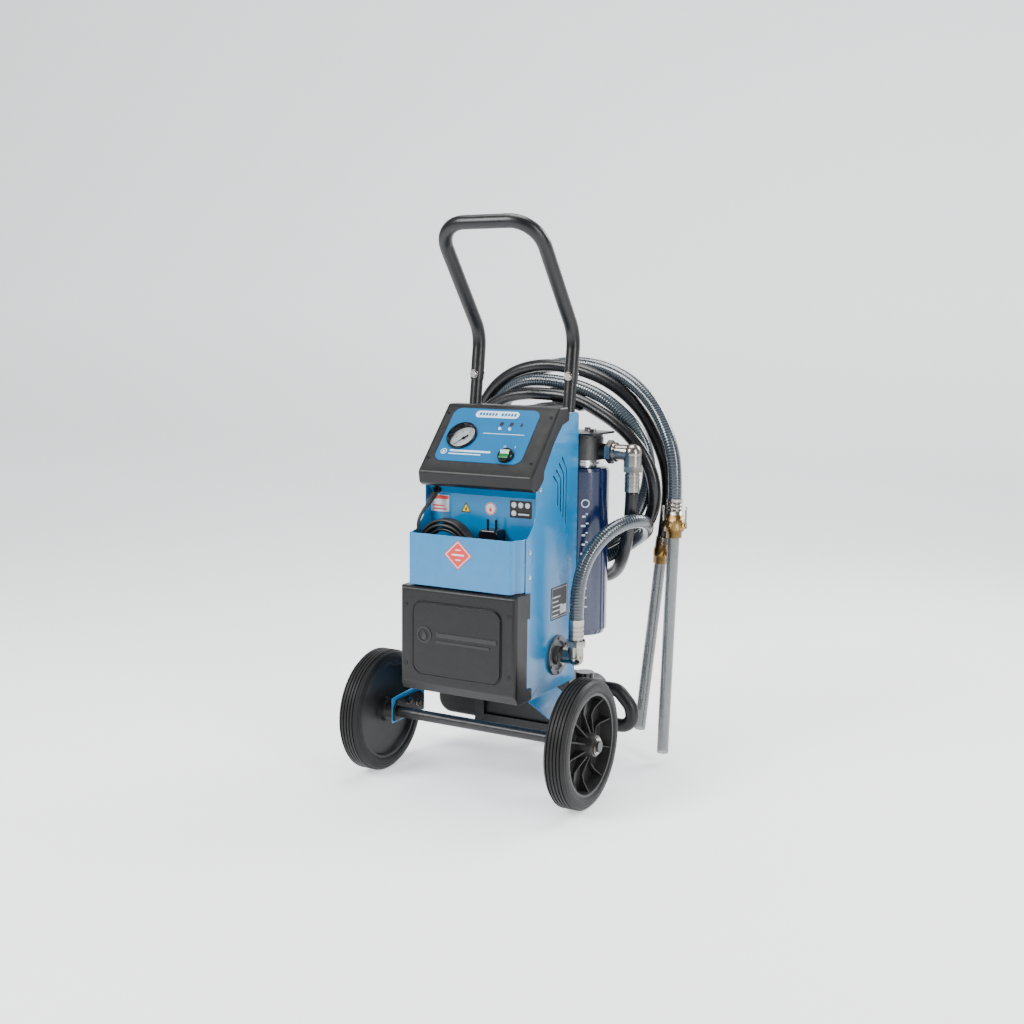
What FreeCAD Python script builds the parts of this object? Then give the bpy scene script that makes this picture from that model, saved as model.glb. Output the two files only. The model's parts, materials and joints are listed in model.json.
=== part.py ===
import FreeCAD, Part
import math
import os

from FreeCAD import Placement, Rotation, Vector

# Mobile fluid filter cart. Millimetres, X to the right, Y to the back, Z up, axle above Y = 0.
# Every piece is moved at the end, so that the origin is the middle of the footprint, on the floor.

os.makedirs("parts", exist_ok=True)

# ---------------------------------------------------------------- fits
running = 0.05          # radial clearance of a shaft in its hole
seat = 0.3              # gap between curved faces that only rest on each other
sheet = 2.0             # folded steel sheet

# ---------------------------------------------------------------- wheels and axle
wheel_radius = 130.0
wheel_width = 49.0
wheel_centre_x = 240.0
rim_radius = 104.0
hub_radius = 23.0
hub_nose = 32.0         # hub boss, outwards from the middle of the wheel
hub_ribs = 10
groove_count = 5
axle_radius = 11.5
axle_z = wheel_radius

# ---------------------------------------------------------------- casing
casing_half = 130.0     # outside of a side panel
casing_rear = 188.0
casing_floor = 205.0
casing_top = 776.0
belly_front = -40.0     # side panel's front edge below the recess
recess_wall = 20.0      # front face of the recess panel
recess_bottom = 430.0
recess_top = 626.0
flare_front = -22.0
flare_rear = 106.0
flare_half = 200.0
flare_drop = 42.0
bracket_bottom = 108.0

# ---------------------------------------------------------------- console
console_tilt = 47.9     # slope of the face, degrees
console_half = casing_half + 3.0
console_top_y = 95.0
console_top_z = 789.0
console_length = 180.5
console_wall = 3.0
label_thick = 1.0
gauge_x, gauge_s, gauge_radius = -63.5, 86.0, 33.5
gauge_body = 31.0
gauge_dial = -7.5       # dial's height over the console's face
needle_angle = 225.0    # where zero lies, from the right, anticlockwise
switch_x, switch_s, switch_radius = 57.0, 131.0, 17.5
rocker_width, rocker_length = 20.0, 19.0
lamp_x, lamp_s, lamp_pitch, lamp_radius = 28.0, 62.5, 23.0, 3.0
rocker_tilt = 9.0

# ---------------------------------------------------------------- lower cover and pocket
cover_half = casing_half + 4.6
cover_front = -87.0
cover_top = 427.0
cover_bottom = 230.0
cover_wall = 3.0
cover_screw_x, cover_screw_low, cover_screw_high = 119.7, 267.0, 389.0
screw_radius = 3.4
pocket_half = 120.0
pocket_front = -80.0
pocket_top = 536.0

# ---------------------------------------------------------------- handle
leg_x = casing_half - 17.0
leg_radius = 13.0
handle_wall = 2.0
leg_spigot = leg_radius - 0.7   # the part of a leg inside the handle tube
handle_radius = leg_spigot + 0.2 + handle_wall
leg_lean = 7.0          # lower legs, degrees backwards
handle_lean = 38.7      # upper part, degrees forwards
leg_y, leg_z = 172.5, 776.0
leg_bottom = 560.0
socket_z = 838.0        # handle tube starts here, over the legs
leg_end_z = 905.0
bend_z = 936.0
handle_top = 1155.5
handle_corner = 62.0
handle_bend = 75.0
bolt_z = 852.0

# ---------------------------------------------------------------- filter
can_radius = 60.0
can_gap = 6.0           # between the can and the casing
filter_x, filter_y = 107.0, casing_rear + can_gap + can_radius
can_bottom, can_top = 292.0, 658.0
head_bottom, head_top = 672.0, 727.0
head_radius = 46.0
neck_radius = 36.0
elbow_x, elbow_z = 225.0, 684.0
elbow_radius = 19.0
fitting_radius = 16.0
nut_radius = 21.0

# ---------------------------------------------------------------- pump, motor and port
port_y, port_z = 99.0, 275.0
port_radius = 42.0
pump_radius = 40.0
pump_outer_x = casing_half - sheet
pump_inner_x = pump_outer_x - 62
rotor_radius = 24.0
motor_radius = 62.0
motor_end_x = -118.0
shaft_radius = 7.0
riser_x = casing_half + 45   # vertical leg of the suction elbow
riser_radius = 16.0
pipe_x, pipe_radius, pipe_z = pump_inner_x + 24, 7.0, 700.0

# ---------------------------------------------------------------- tank and rear foot
tank_left, tank_right = -221.0, 150.0
tank_front, tank_back = 200.0, 328.0
tank_bottom, tank_top = 78.0, 186.0
tank_round = 34.0
cap_x, cap_radius, cap_height = 119.0, 20.0, 16.0
grip_right, grip_radius = 252.0, 15.0
foot_y = 344.0
shelf_thick = 3.0
pad_height = 9.0

# ---------------------------------------------------------------- hoses and hanger
coil_x, coil_z = 4.0, 626.0
suction_d = 30.0
delivery_d = 28.0
suction_coil_y = 332.0
delivery_coil_y = 364.0
delivery_coil_in, delivery_coil_out = 162.0, 244.0
suction_coil_in, suction_coil_out = 166.0, 226.0
hanger_back = 392.0
saddle_thick = 4.0
lance_radius = 13.0
lance_wall = 2.0
suction_lance_length = 495.0
delivery_lance_length = 402.0
cable_d = 7.0

# Middles of the hoses and the lead. A hose starts in its fitting and ends in its coil.
suction_feed = [
    (175, 99, 356), (175, 99, 416), (184, 118, 478), (207, 154, 526), (237, 202, 552),
    (257, 254, 549), (243, 306, 520), (198, 331, 488), (150, 332, 456), (98, 332, 437),
]
suction_tail = [
    (0, 332, 838), (66, 332, 856), (140, 332, 848), (206, 332, 812),
    (254, 332, 760), (282, 332, 700), (292, 332, 643), (292, 332, 590),
]
delivery_feed = [
    (225, 254, 608), (225, 254, 566), (213, 264, 512), (189, 298, 456), (152, 342, 412),
    (104, 362, 396), (50, 364, 395),
]
delivery_tail = [
    (222, 364, 716), (252, 364, 664), (263, 364, 608), (261, 364, 554), (255.5, 364, 500),
]
cable_run = [
    (-107, 0.5, 607), (-107, -14.5, 593.7), (-115, -32, 575), (-120, -45, 552), (-112, -44, 529),
    (-94, -36, 517),
]
cable_coil_x, cable_coil_y, cable_coil_z = -59.0, -31.0, 498.3
cable_coil_out, cable_coil_in, cable_coil_width = 66.0, 42.0, 28.0
plug_x, plug_z = 29.4, 520.0
plug_depth = 38.0

nodes = {}
axis_x, axis_y, axis_z = Vector(1, 0, 0), Vector(0, 1, 0), Vector(0, 0, 1)


# ---------------------------------------------------------------- helpers
def box(x0, y0, z0, x1, y1, z1):
    corner = Vector(min(x0, x1), min(y0, y1), min(z0, z1))
    return Part.makeBox(abs(x1 - x0), abs(y1 - y0), abs(z1 - z0), corner)


def rod(start, end, radius):
    start, end = Vector(*start), Vector(*end)
    return Part.makeCylinder(radius, (end - start).Length, start, end - start)


def pipe(start, end, radius, bore):
    return rod(start, end, radius).cut(rod(start, end, bore))


def mirror(shape):
    return shape.mirror(Vector(0, 0, 0), axis_x)


def pair(shape):
    return [shape, mirror(shape)]


def fuse(shapes):
    whole = shapes[0].multiFuse(shapes[1:]) if len(shapes) > 1 else shapes[0]
    return whole.removeSplitter()


def group(shapes):
    return Part.makeCompound(shapes)


def face(points):
    return Part.Face(Part.makePolygon([Vector(*p) for p in points + points[:1]]))


def side_slab(outline, x0, x1):
    """A YZ outline made solid from x0 to x1."""
    return face([(x0, y, z) for y, z in outline]).extrude(Vector(x1 - x0, 0, 0))


def front_slab(outline, y0, y1):
    """An XZ outline made solid from y0 to y1."""
    return face([(x, y0, z) for x, z in outline]).extrude(Vector(0, y1 - y0, 0))


def plan_slab(outline, z0, z1):
    """An XY outline made solid from z0 to z1."""
    return face([(x, y, z0) for x, y in outline]).extrude(Vector(0, 0, z1 - z0))


def spin(outline, centre, axis):
    """A ring from (distance along the axis, radius) points."""
    centre, axis = Vector(*centre), Vector(axis)
    across = Vector(0, 0, 1) if abs(axis.z) < 0.5 else Vector(1, 0, 0)
    points = [centre + axis * a + across * r for a, r in outline]
    return Part.Face(Part.makePolygon(points + points[:1])).revolve(centre, axis, 360)


def rounded_plate(x0, x1, y0, y1, z0, z1, radius):
    plate = box(x0, y0, z0, x1, y1, z1)
    return plate.makeFillet(radius, edges_along(plate, axis_z))


def edges_along(shape, direction):
    picked = []
    for edge in shape.Edges:
        if isinstance(edge.Curve, Part.Line) and abs(abs(edge.tangentAt(0).dot(direction)) - 1) < 1e-6:
            picked.append(edge)
    return picked


def edges_near(shape, test):
    return [edge for edge in shape.Edges if test(edge.BoundBox)]


def hexagon(start, direction, across, height):
    start, direction = Vector(*start), Vector(direction)
    turn = Rotation(axis_z, direction)
    corners = []
    for k in range(7):
        angle = math.radians(60 * k)
        corner = Vector(across / math.sqrt(3) * math.cos(angle), across / math.sqrt(3) * math.sin(angle), 0)
        corners.append(start + turn.multVec(corner))
    return Part.Face(Part.makePolygon(corners)).extrude(direction * height)


def console(shape):
    """Moves a shape from the console's own frame: x across, y up the slope, z out of the face."""
    moved = shape.copy()
    tilt = Placement(Vector(0, console_top_y, console_top_z), Rotation(axis_x, console_tilt))
    moved.Placement = tilt.multiply(shape.Placement)
    return moved


def corner_path(points, radii):
    """Straight runs joined by tangent arcs, one radius for each inner point."""
    points = [Vector(*p) for p in points]
    edges, last = [], points[0]
    for before, here, after, radius in zip(points, points[1:], points[2:], radii):
        into, out = (here - before).normalize(), (after - here).normalize()
        turn = into.getAngle(out)
        reach = radius * math.tan(turn / 2)
        start, end = here - into * reach, here + out * reach
        centre_way = (out - into).normalize()
        middle = here + centre_way * (radius / math.cos(turn / 2) - radius)
        edges.append(Part.LineSegment(last, start).toShape())
        edges.append(Part.Arc(start, middle, end).toShape())
        last = end
    edges.append(Part.LineSegment(last, points[-1]).toShape())
    return Part.Wire(edges)


def sweep(path, radius):
    start = path.Edges[0]
    heading = start.tangentAt(start.FirstParameter)
    ring = Part.Wire(Part.makeCircle(radius, start.valueAt(start.FirstParameter), heading))
    return path.makePipeShell([ring], True, False)


def bent_tube(points, radii, radius, bore=0):
    path = corner_path(points, radii)
    tube = sweep(path, radius)
    return tube.cut(sweep(path, bore)) if bore else tube


def cord_tube(name, points, diameter):
    """A cord's free stretch; each arc is as large as its two runs allow."""
    vectors = [Vector(*p) for p in points]
    radii = []
    for before, here, after in zip(vectors, vectors[1:], vectors[2:]):
        turn = (here - before).getAngle(after - here)
        shorter = min((here - before).Length, (after - here).Length)
        radii.append(0.45 * shorter / math.tan(turn / 2))
    path = corner_path(points, radii)
    tube = sweep(path, diameter / 2)
    section = math.pi * diameter ** 2 / 4 * path.Length
    print(name, "length", round(path.Length), "radii", [round(r) for r in radii],
          "volume ratio", round(tube.Volume / section, 4))
    return tube


def coil_ring(y, depth, inner, outer):
    start, end = (coil_x, y - depth / 2, coil_z), (coil_x, y + depth / 2, coil_z)
    ring = pipe(start, end, outer, inner)
    return ring.makeFillet(depth * 0.42, [e for e in ring.Edges if isinstance(e.Curve, Part.Circle)])


# ---------------------------------------------------------------- wheels
def tyre():
    half, outer = wheel_width / 2, wheel_radius
    inner = rim_radius + 0.2
    outline = [(-half + 3, inner), (-half, inner + 5), (-half, outer - 13), (-half + 2, outer - 6),
               (-half + 8, outer), (half - 8, outer), (half - 2, outer - 6), (half, outer - 13),
               (half, inner + 5), (half - 3, inner)]
    ring = spin(outline, (wheel_centre_x, 0, axle_z), axis_x)
    pitch = (wheel_width - 20) / (groove_count - 1)
    for k in range(groove_count):
        x = wheel_centre_x + (k - (groove_count - 1) / 2) * pitch
        ring = ring.cut(pipe((x - 1.3, 0, axle_z), (x + 1.3, 0, axle_z), outer + 1, outer - 2.6))
    return ring


def hub():
    half, wall = wheel_width / 2 - 3, 6.0
    bore = axle_radius + running
    outline = [(-half, bore), (-half, hub_radius), (-10, hub_radius + 3), (-12, rim_radius - wall - 3),
               (-half, rim_radius - wall), (-half, rim_radius), (half, rim_radius),
               (half, rim_radius - wall), (-5, rim_radius - wall - 4), (-3, hub_radius + 6),
               (hub_nose - 6, hub_radius), (hub_nose, hub_radius - 2), (hub_nose, bore)]
    centre = (wheel_centre_x, 0, axle_z)
    wheel = spin(outline, centre, axis_x)
    rib_profile = [(wheel_centre_x - 6, 21), (wheel_centre_x + 20, 21), (wheel_centre_x + 3, 62),
                   (wheel_centre_x + 6, 78), (wheel_centre_x + 19, 99), (wheel_centre_x - 6, 99)]
    rib = face([(x, -1.6, axle_z + r) for x, r in rib_profile]).extrude(Vector(0, 3.2, 0))
    ribs = []
    for k in range(hub_ribs):
        turned = rib.copy()
        turned.rotate(Vector(*centre), axis_x, 360 / hub_ribs * k)
        ribs.append(turned)
    return fuse([wheel] + ribs)


def make_wheels():
    for side, shape in zip(("right", "left"), pair(tyre())):
        nodes["tyre_" + side] = shape
    for side, shape in zip(("right", "left"), pair(hub())):
        nodes["hub_" + side] = shape
    nose = wheel_centre_x + hub_nose
    end = nose + 8
    nodes["axle"] = fuse([
        rod((-end, 0, axle_z), (end, 0, axle_z), axle_radius),
    ])
    ring = pipe((nose + 0.3, 0, axle_z), (nose + 2.6, 0, axle_z), 17.5, axle_radius + seat)
    clip = pipe((nose + 2.6, 0, axle_z), (nose + 4.2, 0, axle_z), 14.5, axle_radius + 0.1)
    inner = wheel_centre_x - wheel_width / 2 + 3
    spacer = pipe((flare_half + 0.3, 0, axle_z), (inner - 0.3, 0, axle_z), 16, axle_radius + seat)
    nodes["axle_rings"] = group(pair(fuse([ring, clip])) + pair(spacer))


# ---------------------------------------------------------------- casing
def vent_slots():
    slots = []
    for k in range(4):
        y, top = 136 - 12.5 * k, 689 - 12 * k
        height = 28 - 2.5 * k
        bottom = 549 + 13 * k
        outline = [(y - 22, top), (y, top - height), (y, bottom), (y - 5, bottom),
                   (y - 5, top - height + 1), (y - 26, top - 3)]
        slots.append(side_slab(outline, casing_half - 2 * sheet, casing_half + sheet))
    return slots


def side_panel():
    outer, inner = casing_half, casing_half - sheet
    outline = [(flare_front + 4, casing_floor), (belly_front, casing_floor + 46), (belly_front, 535),
               (-28, 541), (-8, 562), (0, 580), (0, 659), (96, 766), (112, casing_top),
               (casing_rear - 6, casing_top), (casing_rear, casing_top - 6), (casing_rear, casing_floor)]
    panel = side_slab(outline, inner, outer)
    low = casing_floor - flare_drop
    section = [(outer, casing_floor + 1), (outer, casing_floor), (flare_half, low),
               (flare_half, bracket_bottom), (flare_half - sheet, bracket_bottom),
               (flare_half - sheet, low - 1), (inner, casing_floor - 1), (inner, casing_floor + 1)]
    flare = front_slab(section, flare_front, flare_rear)
    panel = fuse([panel, flare])
    panel = panel.cut(rod((inner, 0, axle_z), (flare_half + 5, 0, axle_z), axle_radius + seat))
    for y, z in plate_bolts:
        panel = panel.cut(rod((flare_half - 5, y, z), (flare_half + 5, y, z), 4.2))
    panel = panel.cut(rod((inner - 1, port_y, port_z), (outer + 1, port_y, port_z), 33))
    for slot in vent_slots():
        panel = panel.cut(slot)
    return panel


plate_bolts = [(34, 146), (72, 132)]
rivet_places = [(19, 628), (-23, 507), (-23, 457)]


def make_casing():
    for side, shape in zip(("right", "left"), pair(side_panel())):
        nodes["side_panel_" + side] = shape
    inner = casing_half - sheet - 0.2
    rear = casing_rear - sheet
    outline = [(112, casing_top - sheet), (112, casing_top), (casing_rear, casing_top),
               (casing_rear, casing_floor + sheet), (rear, casing_floor + sheet), (rear, casing_top - sheet)]
    panel = side_slab(outline, -inner, inner)
    for sign in (-1, 1):
        panel = panel.cut(leg_rod(sign, leg_radius + seat))
    for k in range(7):
        z = 300 + 22 * k
        panel = panel.cut(rounded_slot(-78, 78, z, 8))
    panel = panel.cut(rod((pipe_x, rear - 1, pipe_z), (pipe_x, casing_rear + 1, pipe_z), pipe_radius + 1))
    nodes["rear_panel"] = panel

    floor = box(-inner, -38, casing_floor, inner, rear - 0.2, casing_floor + 18)
    nodes["base_panel"] = floor.cut(box(-inner + sheet, -36, casing_floor + sheet,
                                        inner - sheet, rear - 2.2, casing_floor + 20))
    wall = recess_wall
    outline = [(wall, recess_bottom), (wall, recess_top - 18), (4, recess_top), (4, 652), (6, 652),
               (6, recess_top + 1), (wall + 2, recess_top - 17), (wall + 2, recess_bottom)]
    panel = side_slab(outline, -inner, inner)
    face_point, way = gland_axis()
    nodes["recess_panel"] = panel.cut(Part.makeCylinder(6.4, 30, face_point - way * 15, way))


def gland_axis():
    """Where the mains lead's gland sits on the recess panel's sloped flange, and its direction."""
    way = Vector(0, -18, -16).normalize()
    start = Vector(*cable_run[0])
    on_flange = Vector(start.x, recess_wall, recess_top - 18)
    return start - way * (start - on_flange).dot(way), way


def rounded_slot(x0, x1, z, height):
    slot = box(x0, casing_rear - 5, z, x1, casing_rear + 5, z + height)
    return slot.makeFillet(height / 2 - 0.1, edges_along(slot, axis_y))


def make_axle_plates():
    x0, x1 = flare_half - sheet - 4, flare_half - sheet
    outline = [(-18, 112), (-18, 140), (-6, 156), (84, 156), (96, 146), (96, 112)]
    plate = side_slab(outline, x0, x1)
    plate = plate.cut(rod((x0 - 1, 0, axle_z), (x1 + 1, 0, axle_z), axle_radius + 0.1))
    for y, z in plate_bolts:
        plate = plate.cut(rod((x0 - 1, y, z), (x1 + 1, y, z), 4.2))
    nodes["axle_plates"] = group(pair(plate))


def bolt(head, direction, grip, washer=9.0, nut=True):
    """A bolt with its washers and nut; its washer's underside is at head."""
    head, way = Vector(*head), Vector(direction).normalize()
    parts = [
        Part.makeCylinder(washer, 1.6, head, way),
        hexagon(tuple(head + way * 1.6), way, 13, 5.3),
        Part.makeCylinder(4.0, grip + (11 if nut else 1.8), head + way * 1.8, way * -1),
    ]
    if nut:
        parts.append(Part.makeCylinder(washer, 1.6, head - way * (grip + 1.6), way))
        parts.append(hexagon(tuple(head - way * (grip + 1.6)), way * -1, 13, 6.5))
    return fuse(parts)


def make_frame_bolts():
    bolts = []
    for y, z in plate_bolts:
        bolts += pair(bolt((flare_half, y, z), (1, 0, 0), sheet + 4, 8.0))
    way = Vector(0, -math.cos(math.radians(leg_lean)), -math.sin(math.radians(leg_lean)))
    at = leg_point(bolt_z)
    for sign in (-1, 1):
        head = Vector(sign * leg_x, at.y, at.z) + way * (handle_radius - 1.2)
        bolts.append(bolt(tuple(head), way, 2 * handle_radius - 2.4))
    for dx, dy in head_bolt_places:
        bolts.append(bolt((filter_x + dx, filter_y + dy, bracket_z + 4), (0, 0, 1), 16, 8.5, False))
    nodes["frame_bolts"] = group(bolts)


head_bolt_places = [(-30, -22), (-4, 34), (32, -14)]
bracket_z = head_top


# ---------------------------------------------------------------- cover and pocket
def make_cover():
    back = -38.0
    outline = [(cover_front, cover_bottom), (cover_front, cover_top), (back, cover_top),
               (back, casing_floor + 4), (-74, 210)]
    shell = side_slab(outline, -cover_half, cover_half)
    tab_high = box(cover_half - 6, back, 376, cover_half, -27, cover_top)
    tab_low = box(cover_half - 6, back, casing_floor + 4, cover_half, -17, 232)
    panel_edge = box(casing_half - sheet - 0.3, belly_front - 0.2, casing_floor, casing_half + 0.2, 0,
                     cover_top + 1)
    front = edges_near(shell, lambda b: b.YMax < cover_front + 0.1)
    shell = shell.makeFillet(9.0, front)
    shell = fuse([shell] + pair(tab_high) + pair(tab_low))
    w = cover_wall
    hollow = [(cover_front + w + 1, cover_bottom + 3), (cover_front + w + 1, cover_top - w),
              (0, cover_top - w), (0, casing_floor), (back - 1, casing_floor), (-73, 214)]
    cavity = side_slab(hollow, -casing_half - 0.2, casing_half + 0.2)
    shell = shell.cut(cavity).cut(group(pair(panel_edge)))
    shell = shell.cut(box(-pocket_half - 2, -41, cover_top - 12, pocket_half + 2, back + 1, cover_top + 1))
    panel = rounded_frame(100, 251, 396, 20, cover_front - 3, cover_front + 1)
    groove = rounded_frame(103.5, 247.5, 399.5, 23.5, cover_front - 1, cover_front + 1.6)
    groove = groove.cut(rounded_frame(100, 251, 396, 20, cover_front - 4, cover_front + 5))
    shell = fuse([shell.cut(groove), panel])
    for x in (-cover_screw_x, cover_screw_x):
        for z in (cover_screw_low, cover_screw_high):
            shell = shell.cut(rod((x, cover_front - 1, z), (x, cover_front + 6, z), screw_radius - 1))
            shell = shell.cut(rod((x, cover_front - 1, z), (x, cover_front + 1.2, z), screw_radius + 1))
    nodes["lower_cover"] = shell


def rounded_frame(half, z0, z1, radius, y0, y1):
    plate = box(-half, y0, z0, half, y1, z1)
    return plate.makeFillet(radius, edges_along(plate, axis_y))


def pan_head(place, way, radius, length):
    """A pan-head screw; its head's underside is at the place."""
    place, way = Vector(*place), Vector(way).normalize()
    head = Part.makeCylinder(radius, 2.0, place, way)
    head = head.makeFillet(0.9, edges_far(head, place, way, 2.0))
    slot = Part.makeBox(radius * 1.2, 0.9, 1.0)
    slot.translate(Vector(-radius * 0.6, -0.45, 1.2))
    slot.Placement = Placement(place, Rotation(axis_z, way)).multiply(slot.Placement)
    shank = Part.makeCylinder(radius * 0.55, length, place, way * -1)
    return fuse([head.cut(slot), shank])


def edges_far(shape, place, way, distance):
    circles = [edge for edge in shape.Edges if isinstance(edge.Curve, Part.Circle)]
    return [edge for edge in circles if abs((edge.Curve.Center - place).dot(way) - distance) < 1e-6]


def make_screws():
    screws = []
    for x in (-cover_screw_x, cover_screw_x):
        for z in (cover_screw_low, cover_screw_high):
            screws.append(pan_head((x, cover_front + 1.2, z), (0, -1, 0), screw_radius, 5))
    for x, s in console_screws:
        screws.append(console(pan_head((x, -s, 0), (0, 0, 1), screw_radius, 7)))
    nodes["panel_screws"] = group(screws)
    rivets = []
    for y, z in rivet_places:
        dome = Part.makeCylinder(4.2, 1.6, Vector(casing_half, y, z), axis_x)
        dome = dome.makeFillet(1.2, edges_far(dome, Vector(casing_half, y, z), axis_x, 1.6))
        rivets += pair(dome)
    nodes["panel_rivets"] = group(rivets)


console_screws = [(-121, 26), (121, 26), (-121, 145), (118, 145)]


def pocket_plan(inset):
    x, y = pocket_half - inset, pocket_front + inset
    joint = casing_half - sheet - 0.3 - inset
    right = [(x - 7, y), (x - 2, y + 2), (x, y + 7), (x, -62), (joint, -50), (joint, -10)]
    return right + [(-px, py) for px, py in reversed(right)]


def make_pocket():
    walls = plan_slab(pocket_plan(0), recess_bottom, pocket_top)
    walls = walls.cut(plan_slab(pocket_plan(sheet), recess_bottom + sheet, pocket_top + 1))
    joint = casing_half - sheet - 0.3
    inner = joint - sheet
    opening = box(-inner, -12, recess_bottom + sheet, inner, -8, pocket_top + 1)
    floor = box(-joint, -11, recess_bottom, joint, recess_wall - 0.1, recess_bottom + sheet)
    nodes["cable_pocket"] = fuse([walls.cut(opening), floor])


# ---------------------------------------------------------------- console
def make_console():
    rise = math.sin(math.radians(console_tilt)) * console_length
    run = math.cos(math.radians(console_tilt)) * console_length
    low_y, low_z = console_top_y - run, console_top_z - rise
    top_y, top_z = console_top_y, console_top_z
    outline = [(low_y, low_z), (top_y, top_z), (130, top_z), (139, top_z - 12), (139, top_z - 29),
               (108, top_z - 37), (76, top_z - 67), (30, low_z + 9), (30, low_z - 7),
               (6, low_z - 27), (-12, low_z - 30), (-22, low_z - 24)]
    body = side_slab(outline, -console_half, console_half)
    rounded = edges_near(body, lambda b: b.XLength > 200 and b.YMax < top_y + 1 and b.ZMax > low_z - 26)
    body = body.makeFillet(8.0, rounded)
    w = console_wall
    hollow = [(low_y + 4.2, low_z - 1), (top_y + 1.6, top_z - w), (129, top_z - w), (137, top_z - 13),
              (160, top_z - 13), (160, low_z - 60), (-9, low_z - 60), (-9, low_z - 27), (-18, low_z - 22)]
    body = body.cut(side_slab(hollow, -casing_half - 0.2, casing_half + 0.2))
    body = body.cut(console(rod((gauge_x, -gauge_s, -20), (gauge_x, -gauge_s, 9), gauge_body + seat)))
    body = body.cut(console(rod((switch_x, -switch_s, -20), (switch_x, -switch_s, 9), 12.3)))
    for dx in (-lamp_pitch / 2, lamp_pitch / 2):
        place = (lamp_x + dx, -lamp_s)
        body = body.cut(console(rod((*place, -20), (*place, 9), lamp_radius - 0.3)))
    for x, s in console_screws:
        body = body.cut(console(rod((x, -s, -6), (x, -s, 6), screw_radius * 0.55 + 0.1)))
    nodes["console_bezel"] = body

    label = rounded_plate(-108, 95, -150, -12, 0, label_thick, 18)
    label = label.cut(rod((gauge_x, -gauge_s, -1), (gauge_x, -gauge_s, 3), gauge_body + seat))
    label = label.cut(rod((switch_x, -switch_s, -1), (switch_x, -switch_s, 3), 12.3))
    for dx in (-lamp_pitch / 2, lamp_pitch / 2):
        place = (lamp_x + dx, -lamp_s)
        label = label.cut(rod((*place, -1), (*place, 3), lamp_radius - 0.3))
    nodes["console_label"] = console(label)
    lamps = []
    for dx in (-lamp_pitch / 2, lamp_pitch / 2):
        place = Vector(lamp_x + dx, -lamp_s, label_thick)
        dome = Part.makeSphere(lamp_radius + 0.6, place).common(
            Part.makeCylinder(lamp_radius + 0.6, 6, place, axis_z))
        stem = Part.makeCylinder(lamp_radius - 0.5, 14, place - axis_z * 13, axis_z)
        lamps.append(console(fuse([dome, stem])))
    nodes["indicator_lamps"] = group(lamps)


def make_gauge():
    z, dial = label_thick, gauge_dial
    step, ledge = z + 5.5, z + 3.6
    bore = gauge_body - 1.6
    outline = [(-30, 0), (-30, gauge_body - 3), (-26, gauge_body), (z, gauge_body), (z, gauge_radius),
               (step - 1, gauge_radius), (step, gauge_radius - 1), (step, gauge_body - 0.3),
               (ledge, gauge_body - 0.3), (ledge, bore), (dial, bore), (dial, 1.2), (dial + 3, 1.2),
               (dial + 3, 0)]
    nodes["gauge_case"] = console(spin(outline, (gauge_x, -gauge_s, 0), axis_z))
    needle = fuse([
        pipe((0, 0, dial + 1.3), (0, 0, dial + 2.5), 3.4, 0.5),
        face([(1.6, -1.2, dial + 1.6), (24, -0.3, dial + 1.6), (24, 0.3, dial + 1.6),
              (1.6, 1.2, dial + 1.6)]).extrude(Vector(0, 0, 0.6)),
        box(-12, -1.7, dial + 1.6, -1.6, 1.7, dial + 2.2),
    ])
    needle = needle.cut(rod((0, 0, dial), (0, 0, dial + 5), 1.2 + running))
    needle.rotate(Vector(0, 0, 0), axis_z, needle_angle)
    needle.translate(Vector(gauge_x, -gauge_s, 0))
    nodes["gauge_needle"] = console(needle)
    nodes["gauge_glass"] = console(rod((gauge_x, -gauge_s, ledge), (gauge_x, -gauge_s, ledge + 1.3),
                                       gauge_body - 0.5))


def make_switch():
    z, x, y = label_thick, switch_x, -switch_s
    outline = [(z, 0), (z, switch_radius), (z + 7, switch_radius - 0.8), (z + 8.2, switch_radius - 2),
               (z + 8.2, 0)]
    half_x, half_y = rocker_width / 2, rocker_length / 2
    housing = fuse([spin(outline, (x, y, 0), axis_z), rod((x, y, -24), (x, y, z + 1), 12.0)])
    housing = housing.cut(box(x - half_x - 0.4, y - half_y - 1.2, z + 0.6,
                              x + half_x + 0.4, y + half_y + 1.2, z + 12))
    pivot = z + 5.0
    pin = rod((x - half_x - 1.5, y, pivot), (x + half_x + 1.5, y, pivot), 1.5)
    nodes["switch_housing"] = console(fuse([housing, pin]))
    low, high = z + 2.6, z + 12.0
    profile = [(y - half_y, low), (y + half_y, low), (y + half_y + 0.2, high), (y, high - 1.6),
               (y - half_y - 0.2, high)]
    rocker = side_slab(profile, x - half_x, x + half_x)
    rocker = rocker.makeFillet(1.2, edges_near(rocker, lambda b: b.ZMin > low + 1 and b.ZLength < 0.01
                                               and b.YMax - b.YMin < 0.01))
    rocker = rocker.cut(rod((x - half_x - 1, y, pivot), (x + half_x + 1, y, pivot), 1.5 + running))
    rocker.rotate(Vector(x, y, pivot), axis_x, rocker_tilt)
    nodes["switch_rocker"] = console(rocker)


# ---------------------------------------------------------------- handle
def leg_point(z):
    """Middle of a lower leg at height z."""
    return Vector(0, leg_y + (z - leg_z) * math.tan(math.radians(leg_lean)), z)


def leg_rod(sign, radius, low=leg_bottom, high=leg_end_z):
    low, high = leg_point(low), leg_point(high)
    return rod((sign * leg_x, low.y, low.z), (sign * leg_x, high.y, high.z), radius)


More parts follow.
